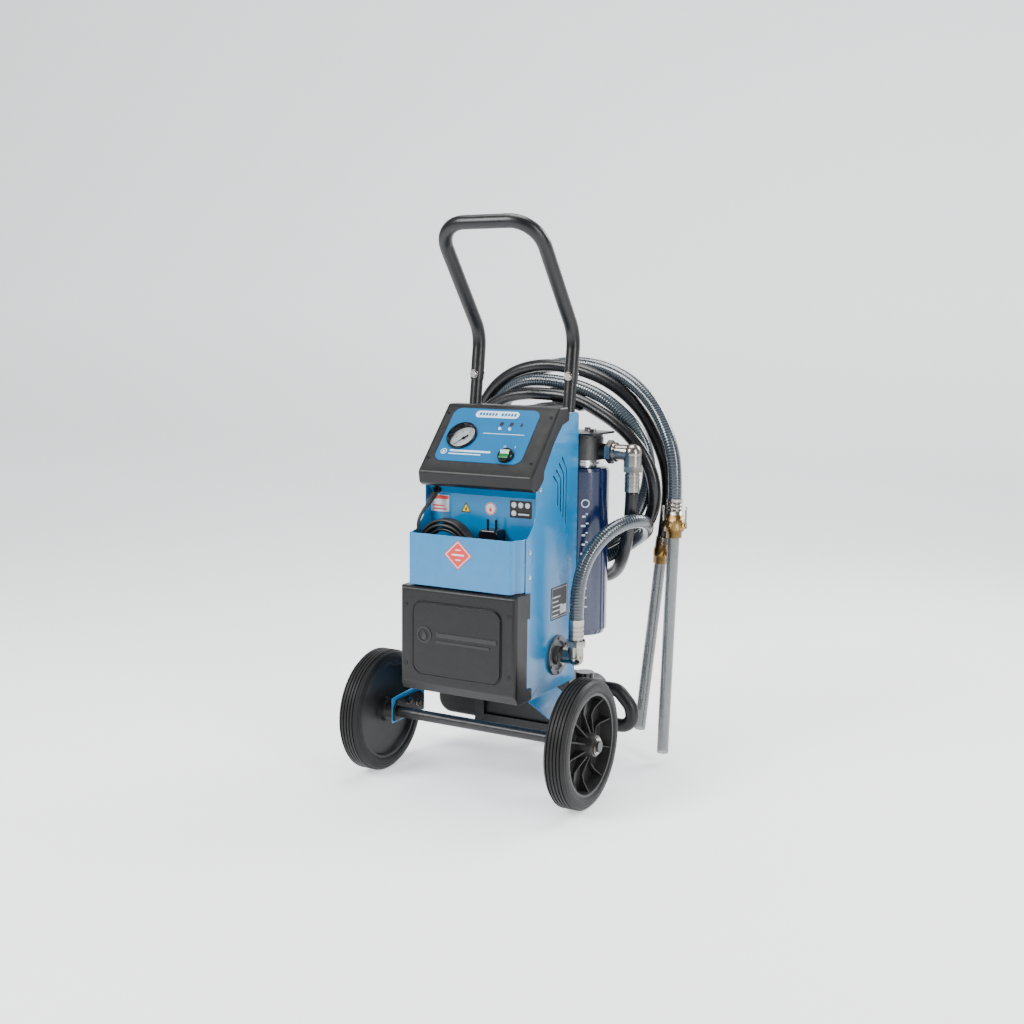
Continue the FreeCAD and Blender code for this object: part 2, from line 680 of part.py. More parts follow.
def make_handle():
    legs = []
    for sign in (-1, 1):
        leg = leg_rod(sign, leg_spigot).cut(leg_rod(sign, leg_spigot - 2))
        below = leg_rod(sign, leg_radius, leg_bottom, socket_z - 0.5)
        collar = below.cut(leg_rod(sign, leg_spigot - 2, leg_bottom, socket_z - 0.5))
        legs.append(cross_bolt(fuse([leg, collar]), sign))
    nodes["handle_legs"] = group(legs)
    start, bend = leg_point(socket_z), leg_point(bend_z)
    top_y = bend.y - (handle_top - bend_z) * math.tan(math.radians(handle_lean))
    points = [(-leg_x, start.y, start.z), (-leg_x, bend.y, bend.z), (-leg_x, top_y, handle_top),
              (leg_x, top_y, handle_top), (leg_x, bend.y, bend.z), (leg_x, start.y, start.z)]
    radii = [handle_bend, handle_corner, handle_corner, handle_bend]
    tube = bent_tube(points, radii, handle_radius, handle_radius - handle_wall)
    for sign in (-1, 1):
        tube = cross_bolt(tube, sign)
    nodes["handle_tube"] = tube


def cross_bolt(shape, sign):
    at = leg_point(bolt_z)
    way = Vector(0, -math.cos(math.radians(leg_lean)), -math.sin(math.radians(leg_lean)))
    middle = Vector(sign * leg_x, at.y, at.z)
    shape = shape.cut(Part.makeCylinder(4.2, 60, middle - way * 30, way))
    for end in (1, -1):
        flat = middle + way * end * (handle_radius - 1.2)
        shape = shape.cut(Part.makeCylinder(9.4, 6, flat, way * end))
    return shape


# ---------------------------------------------------------------- pump and motor
def make_pump():
    y, z = port_y, port_z
    shaft_end = motor_end_x + 22
    housing = fuse([
        rod((pump_inner_x, y, z), (pump_outer_x - 0.3, y, z), pump_radius),
        box(pump_inner_x + 8, y - 30, casing_floor + sheet, pump_outer_x - 10, y + 30, z),
        rod((pipe_x, y, z), (pipe_x, y, z + pump_radius + 8), pipe_radius + 5),
    ])
    housing = housing.cut(rod((pump_inner_x + 20, y, z), (pump_inner_x + 52, y, z), rotor_radius + 0.5))
    housing = housing.cut(rod((pump_inner_x + 52, y, z), (pump_outer_x + 2, y, z), 14))
    housing = housing.cut(rod((pump_inner_x - 6, y, z), (pump_inner_x + 24, y, z), shaft_radius + running))
    housing = housing.cut(rod((pipe_x, y, z), (pipe_x, y, z + pump_radius + 9), pipe_radius - 2))
    housing = housing.cut(rod((pipe_x, y, z + pump_radius - 2), (pipe_x, y, z + pump_radius + 9),
                              pipe_radius + 0.05))
    nodes["pump_housing"] = housing

    rotor = rod((pump_inner_x + 22, y, z), (pump_inner_x + 50, y, z), rotor_radius)
    for k in range(6):
        slot = box(pump_inner_x + 21, y - 2, z + 14, pump_inner_x + 51, y + 2, z + rotor_radius + 1)
        slot.rotate(Vector(0, y, z), axis_x, 60 * k)
        rotor = rotor.cut(slot)
    nodes["pump_rotor"] = fuse([rotor, rod((shaft_end, y, z), (pump_inner_x + 23, y, z), shaft_radius)])

    motor = rod((motor_end_x, y, z), (pump_inner_x, y, z), motor_radius - 6)
    fins = []
    for k in range(24):
        fin = box(motor_end_x + 26, y - 1.4, z + motor_radius - 9, pump_inner_x - 16, y + 1.4,
                  z + motor_radius)
        fin.rotate(Vector(0, y, z), axis_x, 15 * k + 7.5)
        fins.append(fin)
    feet = box(-70, y - 52, casing_floor + sheet, 30, y + 52, z - 42)
    feet = feet.cut(box(-71, y - 34, casing_floor, 31, y + 34, z - 55.5))
    motor = fuse([motor, feet] + fins)
    motor = motor.cut(rod((shaft_end - 2, y, z), (pump_inner_x + 1, y, z), shaft_radius + running))
    nodes["motor_body"] = motor


def make_port():
    y, z = port_y, port_z
    x = casing_half
    outline = [(x - 2.2, 14), (x - 2.2, 32.6), (x, 32.6), (x, port_radius), (x + 5, port_radius),
               (x + 6, port_radius - 1), (x + 6, 31), (x + 1, 29), (x + 1, 20), (x + 10, 19), (x + 10, 14)]
    flange = spin(outline, (0, y, z), axis_x)
    for k in range(6):
        angle = math.radians(60 * k + 30)
        cy, cz = y + 36.5 * math.cos(angle), z + 36.5 * math.sin(angle)
        flange = fuse([flange, rod((x + 5.5, cy, cz), (x + 8.5, cy, cz), 3.2)])
    nodes["suction_flange"] = flange

    start, ball_z = x + 10, z
    elbow = fuse([
        rod((start, y, ball_z), (riser_x, y, ball_z), 14.5),
        Part.makeSphere(riser_radius + 0.5, Vector(riser_x, y, ball_z)),
        rod((riser_x, y, ball_z), (riser_x, y, 300), riser_radius),
        hexagon((start, y, ball_z), (1, 0, 0), 34, 8),
    ])
    elbow = elbow.cut(rod((start - 1, y, ball_z), (riser_x, y, ball_z), 11))
    elbow = elbow.cut(rod((riser_x, y, ball_z), (riser_x, y, 301), 11))
    nodes["suction_elbow"] = elbow

    up = hose_fitting((riser_x, y, 300), 1, 56)
    down = hose_fitting((elbow_x, filter_y, 662), -1, 54)
    nodes["hose_fittings"] = group([up, down])


def hose_fitting(place, way, length):
    """A swivel nut and a crimped ferrule, along +Z or -Z."""
    x, y, z = place
    nut = hexagon((x, y, z), (0, 0, way), 2 * nut_radius - 4, 12)
    parts = [nut]
    for a, b, r in ((12, 16, 14.0), (16, length, fitting_radius)):
        parts.append(rod((x, y, z + way * a), (x, y, z + way * b), r))
    body = fuse(parts)
    for a in (22, 31, 40):
        ring = pipe((x, y, z + way * a), (x, y, z + way * (a + 3)), fitting_radius + 1, fitting_radius - 0.8)
        body = body.cut(ring)
    return body.cut(rod((x, y, z - way), (x, y, z + way * (length - 6)), 10.5))


# ---------------------------------------------------------------- filter
def make_filter():
    x, y = filter_x, filter_y
    bottom, top, r = can_bottom, can_top, can_radius
    outline = [(bottom + 4, 0), (bottom + 4, 30), (bottom, 36), (bottom, r - 14), (bottom + 4, r - 5),
               (bottom + 14, r), (top - 10, r), (top - 3, r - 3), (top, r - 9), (top, 0)]
    nodes["filter_can"] = spin([(z, q) for z, q in outline], (x, y, 0), axis_z)
    neck = pipe((x, y, top + 0.3), (x, y, head_bottom), neck_radius, 16)
    ring = pipe((x, y, top + 5), (x, y, top + 9), neck_radius + 5, 20)
    nodes["filter_neck"] = fuse([neck, ring])

    head = fuse([
        rod((x, y, head_bottom), (x, y, head_top - 8), head_radius),
        rod((x, y, head_top - 10), (x, y, head_top), head_radius - 2),
        rod((x, y, elbow_z + 6), (x + 62, y, elbow_z + 6), 17),
        rod((pipe_x, y - 20, pipe_z), (pipe_x, y - 52, pipe_z), 12),
    ])
    head = head.cut(rod((x, y, head_bottom - 1), (x, y, head_bottom + 26), 15))
    head = head.cut(rod((x, y, elbow_z + 6), (x + 63, y, elbow_z + 6), 11))
    head = head.cut(rod((pipe_x, y - 53, pipe_z), (pipe_x, y - 30, pipe_z), pipe_radius + 0.2))
    for dx, dy in head_bolt_places:
        head = head.cut(rod((x + dx, y + dy, head_top - 14), (x + dx, y + dy, head_top + 1), 4.1))
    nodes["filter_head"] = head

    plate = box(x - 52, casing_rear, bracket_z, x + 56, y + 52, bracket_z + 4)
    plate = plate.makeFillet(12, edges_near(plate, lambda b: b.ZLength > 3 and b.YMin > y + 40))
    upright = box(x - 52, casing_rear, bracket_z, min(x + 56, casing_half - 4), casing_rear + 4, 770)
    gusset = side_slab([(casing_rear, 766), (casing_rear, bracket_z), (y + 30, bracket_z),
                        (y + 30, bracket_z + 12)], x - 52, x - 48)
    plate = fuse([plate, upright, gusset])
    for dx, dy in head_bolt_places:
        plate = plate.cut(rod((x + dx, y + dy, bracket_z - 1), (x + dx, y + dy, bracket_z + 5), 4.2))
    nodes["filter_bracket"] = plate

    z = elbow_z + 6
    start = x + 62
    elbow = fuse([
        hexagon((start, y, z), (1, 0, 0), 44, 12),
        rod((start, y, z), (elbow_x, y, z), elbow_radius - 2),
        pipe((start + 15, y, z), (start + 19, y, z), elbow_radius + 2, 10),
        Part.makeSphere(elbow_radius + 0.5, Vector(elbow_x, y, z)),
        rod((elbow_x, y, z), (elbow_x, y, 662), elbow_radius),
    ])
    elbow = elbow.cut(rod((start - 1, y, z), (elbow_x, y, z), 11))
    nodes["outlet_elbow"] = elbow.cut(rod((elbow_x, y, 661), (elbow_x, y, z), 11))

    path = [(pipe_x, port_y, port_z + pump_radius - 2), (pipe_x, port_y, pipe_z),
            (pipe_x, y - 35, pipe_z)]
    nodes["pressure_pipe"] = bent_tube(path, [24], pipe_radius, pipe_radius - 1.5)


# ---------------------------------------------------------------- tank, shelf and foot
def make_tank():
    y = (tank_front + tank_back) / 2
    body = box(tank_left, tank_front, tank_bottom, tank_right, tank_back, tank_top)
    body = body.makeFillet(tank_round, edges_along(body, axis_y))
    body = body.makeFillet(7, [e for e in body.Edges if e.BoundBox.YLength < 0.1])
    neck = rod((cap_x, y, tank_top - 5), (cap_x, y, tank_top + 5), cap_radius - 5)
    low, high = tank_bottom + grip_radius, tank_top - grip_radius
    grip_points = [(tank_right - 20, y, high), (200, y, high + 0.5), (grip_right - grip_radius - 6, y, 138),
                   (grip_right - grip_radius + 2, y, low), (180, y, low), (tank_right - 20, y, low + 1)]
    grip = bent_tube(grip_points, [28, 34, 26, 40], grip_radius)
    nodes["spill_tank"] = fuse([body, neck, grip])
    base = tank_top + 5 + 0.3
    cap = rod((cap_x, y, base), (cap_x, y, base + 3), cap_radius - 3)
    skirt = pipe((cap_x, y, tank_top + 0.6), (cap_x, y, base + 1), cap_radius, cap_radius - 5 + 0.08)
    crown = rod((cap_x, y, base), (cap_x, y, base + cap_height - 6), cap_radius)
    nodes["tank_cap"] = fuse([cap, skirt, crown])


def make_shelf():
    front, back = tank_front - 6, tank_back + 6
    z = tank_bottom - 0.3
    t = shelf_thick
    half = 118.0
    tray = fuse([
        box(-half, front, z - t, half, back, z),
        box(-half, back, z - t, half, back + t, z + 22),
        box(-half, front - t, z - t, half, front, z + 14),
    ])
    hangers = []
    for x in (-half, half - 24):
        hangers.append(side_slab([(front - t, z), (front, z), (casing_rear, casing_floor - 0.2),
                                  (casing_rear - t - 1, casing_floor - 0.2)], x, x + 24))
        hangers.append(box(x, 120, casing_floor - t - 0.2, x + 24, casing_rear, casing_floor - 0.2))
    leg = box(-14, foot_y - 12, pad_height, 14, foot_y + 12, z + 22)
    brace = side_slab([(foot_y - 12, z - t), (foot_y - 12, pad_height + 22), (tank_front + 60, z - t)], -2, 2)
    nodes["tank_shelf"] = fuse([tray, leg, brace] + hangers)
    pad = rounded_plate(-19, 19, foot_y - 17, foot_y + 17, 0, 14, 6)
    nodes["foot_pad"] = pad.cut(box(-14, foot_y - 12, pad_height, 14, foot_y + 12, 15))


# ---------------------------------------------------------------- hanger and hoses
def make_hanger():
    outer = min(delivery_coil_in, suction_coil_in) - seat
    inner = outer - saddle_thick
    y0 = suction_coil_y - suction_d / 2 - 4
    saddle = pipe((coil_x, y0, coil_z), (coil_x, hanger_back, coil_z), outer, inner)
    lip = pipe((coil_x, hanger_back - 4, coil_z), (coil_x, hanger_back, coil_z), outer + 34, inner)
    wedge = front_slab([(coil_x, coil_z), (coil_x - 110, coil_z + 240), (coil_x + 110, coil_z + 240)],
                       y0 - 1, hanger_back + 1)
    narrow = front_slab([(coil_x, coil_z), (coil_x - 60, coil_z + 240), (coil_x + 60, coil_z + 240)],
                        y0 - 1, hanger_back + 1)
    arm = box(-14, casing_rear, coil_z + 128, 14, hanger_back, coil_z + inner)
    core = rod((coil_x, 0, coil_z), (coil_x, hanger_back, coil_z), inner + 1)
    arm = arm.common(core)
    foot = box(-24, casing_rear, 736, 24, casing_rear + 4, 772)
    post = box(-14, casing_rear, 752, 14, casing_rear + 34, coil_z + inner - 12)
    nodes["hose_hanger"] = fuse([saddle.common(wedge), lip.common(narrow), arm, foot, post])


def make_hoses():
    suction_coil = coil_ring(suction_coil_y, suction_d, suction_coil_in, suction_coil_out)
    delivery_coil = coil_ring(delivery_coil_y, delivery_d, delivery_coil_in, delivery_coil_out)
    nodes["suction_hose_coil"] = suction_coil
    nodes["delivery_hose_coil"] = delivery_coil
    routes = {
        "suction_hose_feed": (suction_feed, suction_d, suction_coil),
        "suction_hose_tail": (suction_tail, suction_d, suction_coil),
        "delivery_hose_feed": (delivery_feed, delivery_d, delivery_coil),
        "delivery_hose_tail": (delivery_tail, delivery_d, delivery_coil),
    }
    for name, (route, diameter, coil) in routes.items():
        tube = cord_tube(name, route, diameter).cut(coil)
        nodes[name] = max(tube.Solids, key=lambda solid: solid.Volume)


def lance(top, lean, length):
    """A rigid clear tube that hangs from its coupling and leans inwards by some degrees."""
    way = Vector(-math.sin(math.radians(lean)), 0, -math.cos(math.radians(lean)))
    tube = Part.makeCylinder(lance_radius, length, top, way)
    return tube.cut(Part.makeCylinder(lance_radius - lance_wall, length, top, way))


def make_couplings():
    x, y, z = suction_tail[-1]
    body = fuse([
        rod((x, y, z), (x, y, z - 34), 17),
        hexagon((x, y, z - 34), (0, 0, -1), 36, 10),
        rod((x, y, z - 44), (x, y, z - 70), 21.5),
        rod((x, y, z - 70), (x, y, z - 84), 17.5),
    ])
    for a in (8, 16, 24):
        body = body.cut(pipe((x, y, z - a), (x, y, z - a - 3), 18, 16))
    for sign in (-1, 1):
        ears = box(x + sign * 20, y - 7, z - 64, x + sign * 27, y + 7, z - 50)
        slot = box(x + sign * 22.3, y - 4.2, z - 65, x + sign * 28, y + 4.2, z - 49)
        ears = ears.cut(slot)
        pin = rod((x + sign * 24.8, y - 6.5, z - 57), (x + sign * 24.8, y + 6.5, z - 57), 1.4)
        body = fuse([body, ears, pin])
    body = body.cut(rod((x, y, z + 1), (x, y, z - 78), 10))
    nodes["suction_coupling"] = body.cut(lance_seat(Vector(x, y, z - 70), 1.4))
    for side, sign in (("left", -1), ("right", 1)):
        cx = x + sign * 24.8
        lever = fuse([
            rod((cx, y - 3.9, z - 57), (cx, y + 3.9, z - 57), 2.3),
            box(cx + sign * 0.2, y - 3.4, z - 59, cx + sign * 2.6, y + 3.4, z - 24),
            pipe((cx + sign * 0.4, y, z - 22), (cx + sign * 2.4, y, z - 22), 6.0, 3.4),
        ])
        bore = rod((cx, y - 5, z - 57), (cx, y + 5, z - 57), 1.4 + running)
        nodes["cam_lever_" + side] = lever.cut(bore)
    nodes["suction_lance"] = lance(Vector(x, y, z - 70), 1.4, suction_lance_length)

    end, before = Vector(*delivery_tail[-1]), Vector(*delivery_tail[-2])
    way = (end - before).normalize()
    body = fuse([
        Part.makeCylinder(16.5, 26, end, way),
        hexagon(tuple(end + way * 26), way, 34, 16),
        Part.makeCylinder(17, 16, end + way * 42, way),
    ])
    body = body.cut(Part.makeCylinder(10, 52, end - way, way))
    top, lean = end + way * 40, math.degrees(math.atan2(-way.x, -way.z))
    nodes["delivery_coupling"] = body.cut(lance_seat(top, lean))
    nodes["delivery_lance"] = lance(top, lean, delivery_lance_length)


def lance_seat(top, lean):
    way = Vector(-math.sin(math.radians(lean)), 0, -math.cos(math.radians(lean)))
    return Part.makeCylinder(lance_radius + 0.05, 60, top, way)


def make_mains():
    x, y, z = cable_coil_x, cable_coil_y, cable_coil_z
    half = cable_coil_width / 2
    ring = pipe((x, y - half, z), (x, y + half, z), cable_coil_out, cable_coil_in)
    ring = ring.makeFillet(9, [e for e in ring.Edges if isinstance(e.Curve, Part.Circle)])
    nodes["mains_cable_coil"] = ring
    run = cord_tube("mains_cable", cable_run, cable_d).cut(ring)
    nodes["mains_cable"] = max(run.Solids, key=lambda solid: solid.Volume)
    seat_face, way = gland_axis()
    tip = Vector(*cable_run[0])
    reach = (tip - seat_face).dot(way)
    nodes["mains_gland"] = fuse([
        Part.makeCylinder(6.2, 9, seat_face - way * 8, way),
        Part.makeCylinder(9.0, 4.5, seat_face, way),
        Part.makeCone(7.0, 4.8, reach - 4.5, seat_face + way * 4.5, way),
    ])
    plug_back = recess_wall - seat
    plug = box(plug_x - 22, plug_back - plug_depth, plug_z - 26, plug_x + 22, plug_back, plug_z + 24)
    plug = plug.makeFillet(9, edges_along(plug, axis_y))
    plug = plug.makeFillet(4, [e for e in plug.Edges if e.BoundBox.YLength < 0.1])
    pin_y = plug_back - plug_depth / 2
    pins = [rod((plug_x + dx, pin_y, plug_z + 20), (plug_x + dx, pin_y, plug_z + 43), 2.4)
            for dx in (-9.5, 9.5)]
    nodes["mains_plug"] = fuse([plug] + pins)


# ---------------------------------------------------------------- build
make_wheels()
make_casing()
make_axle_plates()
make_frame_bolts()
make_cover()
make_screws()
make_pocket()
make_console()
make_gauge()
make_switch()
make_handle()
make_pump()
make_port()
make_filter()
make_tank()
make_shelf()
make_hanger()
make_hoses()
make_couplings()
make_mains()

middle_y = (hanger_back - wheel_radius) / 2
print("origin behind the axle", middle_y, "nodes", len(nodes))
for name, shape in nodes.items():
    shape.translate(Vector(0, -middle_y, 0))
    if not shape.isValid():
        print("not valid:", name)
    shape.exportStep("parts/" + name + ".step")
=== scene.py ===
import json
import math

import bmesh
import bpy
from mathutils import Matrix, Vector

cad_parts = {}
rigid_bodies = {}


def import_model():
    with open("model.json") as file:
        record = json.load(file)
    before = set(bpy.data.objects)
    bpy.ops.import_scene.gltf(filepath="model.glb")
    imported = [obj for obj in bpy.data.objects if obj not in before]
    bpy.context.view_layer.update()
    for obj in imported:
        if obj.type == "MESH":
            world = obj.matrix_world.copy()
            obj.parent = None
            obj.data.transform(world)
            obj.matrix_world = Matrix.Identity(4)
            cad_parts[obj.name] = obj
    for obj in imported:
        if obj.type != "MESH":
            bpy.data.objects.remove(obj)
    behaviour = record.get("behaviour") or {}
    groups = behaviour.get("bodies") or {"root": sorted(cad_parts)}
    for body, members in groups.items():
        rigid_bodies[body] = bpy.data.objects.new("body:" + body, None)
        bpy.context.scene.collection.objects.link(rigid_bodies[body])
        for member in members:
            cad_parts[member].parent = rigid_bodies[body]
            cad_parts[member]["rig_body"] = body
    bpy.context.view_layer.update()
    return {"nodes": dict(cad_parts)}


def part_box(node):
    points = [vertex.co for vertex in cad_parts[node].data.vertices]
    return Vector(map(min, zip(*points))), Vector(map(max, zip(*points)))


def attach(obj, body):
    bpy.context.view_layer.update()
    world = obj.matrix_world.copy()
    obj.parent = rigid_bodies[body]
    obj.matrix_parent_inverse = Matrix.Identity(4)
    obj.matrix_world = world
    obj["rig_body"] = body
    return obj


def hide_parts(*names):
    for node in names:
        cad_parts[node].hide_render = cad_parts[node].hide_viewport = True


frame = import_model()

nodes = frame["nodes"]
axleLow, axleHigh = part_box("axle")
axleY = (axleLow.y + axleHigh.y) / 2


def at(x, y, z):  # millimetres from the middle of the axle, on the floor
    return Vector((x / 1000, y / 1000 + axleY, z / 1000))


# camera, light and floor
cameraView = {"lens": 45.33, "turn": 28.62, "rise": 7.69, "roll": 0.67,
              "aim": (0, 138.4, 560.9), "away": 2.7398}


def makeCamera(spec):
    turn, rise, roll = (math.radians(spec[k]) for k in ("turn", "rise", "roll"))
    back = Vector((math.sin(turn) * math.cos(rise), -math.cos(turn) * math.cos(rise), math.sin(rise)))
    right = Vector((math.cos(turn), math.sin(turn), 0))
    up = back.cross(right)
    across = right * math.cos(roll) + up * math.sin(roll)
    above = up * math.cos(roll) - right * math.sin(roll)
    data = bpy.data.cameras.new("studioCamera")
    data.lens, data.sensor_width, data.clip_end = spec["lens"], 36, 50
    camera = bpy.data.objects.new("studioCamera", data)
    place = at(*spec["aim"]) + back * spec["away"]
    camera.matrix_world = Matrix.Translation(place) @ Matrix((across, above, back)).transposed().to_4x4()
    bpy.context.scene.collection.objects.link(camera)
    bpy.context.scene.camera = camera


studioLights = {
    "keyLight": {"place": (-1300, -2300, 2300), "size": (1.1, 1.5), "power": 120},
    "sideLight": {"place": (2500, -900, 1500), "size": (0.5, 2.2), "power": 55},
    "backLight": {"place": (1300, 2300, 2200), "size": (1.6, 0.8), "power": 70},
    "topLight": {"place": (-200, 300, 3000), "size": (1.4, 1.4), "power": 60},
}
lightAim = (0, 100, 550)
studioAir = {"color": (0.95, 0.97, 1.0, 1), "strength": 0.42}


def makeLights(specs, air):
    for name, spec in specs.items():
        data = bpy.data.lights.new(name, "AREA")
        data.shape, data.energy = "RECTANGLE", spec["power"]
        data.size, data.size_y = spec["size"]
        lamp = bpy.data.objects.new(name, data)
        place = at(*spec["place"])
        lamp.location = place
        lamp.rotation_euler = (at(*lightAim) - place).to_track_quat("-Z", "Y").to_euler()
        bpy.context.scene.collection.objects.link(lamp)
    world = bpy.data.worlds.new("studioAir")
    world.use_nodes = True
    background = world.node_tree.nodes["Background"]
    background.inputs["Color"].default_value = air["color"]
    background.inputs["Strength"].default_value = air["strength"]
    bpy.context.scene.world = world


makeCamera(cameraView)
makeLights(studioLights, studioAir)
print("camera and lights ready")


# shader groups: they put out only colours, masks, values and heights
def newGroup(name, takes, gives):
    tree = bpy.data.node_groups.new(name, "ShaderNodeTree")
    for label, kind, value in takes:
        tree.interface.new_socket(label, in_out="INPUT", socket_type="NodeSocket" + kind).default_value = value
    for label, kind in gives:
        tree.interface.new_socket(label, in_out="OUTPUT", socket_type="NodeSocket" + kind)
    return tree, tree.nodes.new("NodeGroupInput"), tree.nodes.new("NodeGroupOutput")


def addNode(tree, kind, settings=None, **sockets):
    node = tree.nodes.new(kind)
    for key, value in (settings or {}).items():
        setattr(node, key, value)
    for key, value in sockets.items():
        socket = node.inputs[int(key[1:])] if key[0] == "n" and key[1:].isdigit() else node.inputs[key]
        if isinstance(value, bpy.types.NodeSocket):
            tree.links.new(value, socket)
        else:
            socket.default_value = value
    return node


def maths(tree, operation, a, b=0.0, clamp=False):
    return addNode(tree, "ShaderNodeMath", {"operation": operation, "use_clamp": clamp}, n0=a, n1=b).outputs[0]


def mixColour(tree, share, a, b):
    return addNode(tree, "ShaderNodeMix", {"data_type": "RGBA"}, n0=share, n6=a, n7=b).outputs[2]


def makeSurfaceAge():  # patches of another tone, uneven gloss and a fine grain
    tree, start, end = newGroup("surfaceAge", [
        ("Color", "Color", (0.5, 0.5, 0.5, 1)), ("Tint", "Color", (0.4, 0.4, 0.4, 1)), ("Amount", "Float", 0.3),
        ("Patch Scale", "Float", 8.0), ("Roughness", "Float", 0.4), ("Spread", "Float", 0.1),
        ("Grain Scale", "Float", 900.0)], [("Color", "Color"), ("Roughness", "Float"), ("Height", "Float")])
    place = addNode(tree, "ShaderNodeTexCoord").outputs["Object"]
    patch = addNode(tree, "ShaderNodeTexNoise", None, Vector=place, Scale=start.outputs["Patch Scale"],
                    Detail=5.0, Roughness=0.6).outputs[0]
    mask = addNode(tree, "ShaderNodeMapRange", None, n0=patch, n1=0.38, n2=0.72, n3=0.0, n4=1.0).outputs[0]
    share = maths(tree, "MULTIPLY", mask, start.outputs["Amount"], True)
    tree.links.new(mixColour(tree, share, start.outputs["Color"], start.outputs["Tint"]), end.inputs["Color"])
    uneven = maths(tree, "MULTIPLY", maths(tree, "SUBTRACT", patch, 0.5), start.outputs["Spread"])
    tree.links.new(maths(tree, "ADD", start.outputs["Roughness"], uneven, True), end.inputs["Roughness"])
    grain = addNode(tree, "ShaderNodeTexNoise", None, Vector=place, Scale=start.outputs["Grain Scale"],
                    Detail=3.0).outputs[0]
    tree.links.new(grain, end.inputs["Height"])
    return tree


def makeFloorDust():  # pale dust that fades out with height above the floor
    tree, start, end = newGroup("floorDust", [
        ("Color", "Color", (0.1, 0.1, 0.1, 1)), ("Dust", "Color", (0.35, 0.33, 0.3, 1)),
        ("Top", "Float", 0.3), ("Amount", "Float", 0.2)], [("Color", "Color")])
    place = addNode(tree, "ShaderNodeTexCoord").outputs["Object"]
    height = addNode(tree, "ShaderNodeSeparateXYZ", None, Vector=place).outputs["Z"]
    low = addNode(tree, "ShaderNodeMapRange", None, n0=height, n1=0.0, n2=start.outputs["Top"],
                  n3=1.0, n4=0.0).outputs[0]
    cloud = addNode(tree, "ShaderNodeTexNoise", None, Vector=place, Scale=35.0, Detail=6.0).outputs[0]
    mask = maths(tree, "MULTIPLY", maths(tree, "MULTIPLY", low, cloud), start.outputs["Amount"], True)
    tree.links.new(mixColour(tree, mask, start.outputs["Color"], start.outputs["Dust"]), end.inputs["Color"])
    return tree


def makeEdgeRubAndGlint():  # brighter along sharp edges, broken up by noise: rubbed wear on most finishes, a painted edge highlight on the blue paints
    tree, start, end = newGroup("edgeRubAndGlint", [
        ("Color", "Color", (0.1, 0.1, 0.1, 1)), ("Edge", "Color", (0.5, 0.5, 0.5, 1)),
        ("Amount", "Float", 0.4)], [("Color", "Color")])
    place = addNode(tree, "ShaderNodeTexCoord").outputs["Object"]
    sharp = addNode(tree, "ShaderNodeNewGeometry").outputs["Pointiness"]
    edge = addNode(tree, "ShaderNodeMapRange", None, n0=sharp, n1=0.53, n2=0.62, n3=0.0, n4=1.0).outputs[0]
    broken = addNode(tree, "ShaderNodeTexNoise", None, Vector=place, Scale=60.0, Detail=4.0).outputs[0]
    mask = maths(tree, "MULTIPLY", maths(tree, "MULTIPLY", edge, broken), start.outputs["Amount"], True)
    tree.links.new(mixColour(tree, mask, start.outputs["Color"], start.outputs["Edge"]), end.inputs["Color"])
    return tree


def makePebble():  # the small cells of a moulded or powder coated skin
    tree, start, end = newGroup("pebbleSkin", [("Scale", "Float", 700.0)], [("Height", "Float")])
    place = addNode(tree, "ShaderNodeTexCoord").outputs["Object"]
    cell = addNode(tree, "ShaderNodeTexVoronoi", None, Vector=place,
                   Scale=start.outputs["Scale"]).outputs["Distance"]
    tree.links.new(cell, end.inputs["Height"])
    return tree


def makeBrushed():  # fine lines from turning or grinding
    tree, start, end = newGroup("brushedLines", [
        ("Stretch", "Vector", (1.0, 1.0, 30.0)), ("Scale", "Float", 120.0)], [("Tone", "Float")])
    place = addNode(tree, "ShaderNodeTexCoord").outputs["Object"]
    drawn = addNode(tree, "ShaderNodeMapping", None, Vector=place, Scale=start.outputs["Stretch"]).outputs[0]
    tone = addNode(tree, "ShaderNodeTexNoise", None, Vector=drawn, Scale=start.outputs["Scale"],
                   Detail=3.0).outputs[0]
    tree.links.new(tone, end.inputs["Tone"])
    return tree


def makeSpiral():  # the wire wound into the wall of a hose, from the tube's own length and girth
    tree, start, end = newGroup("spiralWire", [("Pitch", "Float", 1.0), ("Width", "Float", 0.35)],
                                [("Mask", "Float"), ("Height", "Float")])
    flat = addNode(tree, "ShaderNodeUVMap", {"uv_map": "lengthGirth"}).outputs[0]
    parts = addNode(tree, "ShaderNodeSeparateXYZ", None, Vector=flat)
    turns = maths(tree, "ADD", maths(tree, "MULTIPLY", parts.outputs[0], start.outputs["Pitch"]), parts.outputs[1])
    wave = maths(tree, "ABSOLUTE", maths(tree, "SUBTRACT", maths(tree, "FRACT", turns), 0.5))
    near = maths(tree, "SUBTRACT", start.outputs["Width"], wave)
    mask = maths(tree, "MULTIPLY", near, 6.0, True)
    tree.links.new(mask, end.inputs["Mask"])
    tree.links.new(wave, end.inputs["Height"])
    return tree


def makeRings():  # rings round the axle, for a tyre's side
    tree, start, end = newGroup("tyreRings", [("Centre", "Vector", (0.0, 0.0, 0.0)), ("Spacing", "Float", 200.0)],
                                [("Height", "Float")])
    place = addNode(tree, "ShaderNodeTexCoord").outputs["Object"]
    local = addNode(tree, "ShaderNodeVectorMath", {"operation": "SUBTRACT"}, n0=place,
                    n1=start.outputs["Centre"]).outputs[0]
    parts = addNode(tree, "ShaderNodeSeparateXYZ", None, Vector=local)
    flat = addNode(tree, "ShaderNodeCombineXYZ", None, n1=parts.outputs[1], n2=parts.outputs[2]).outputs[0]
    reach = addNode(tree, "ShaderNodeVectorMath", {"operation": "LENGTH"}, n0=flat).outputs["Value"]
    fullTurn = maths(tree, "MULTIPLY", start.outputs["Spacing"], 6.2832)
    wave = maths(tree, "SINE", maths(tree, "MULTIPLY", reach, fullTurn))
    tree.links.new(wave, end.inputs["Height"])
    return tree


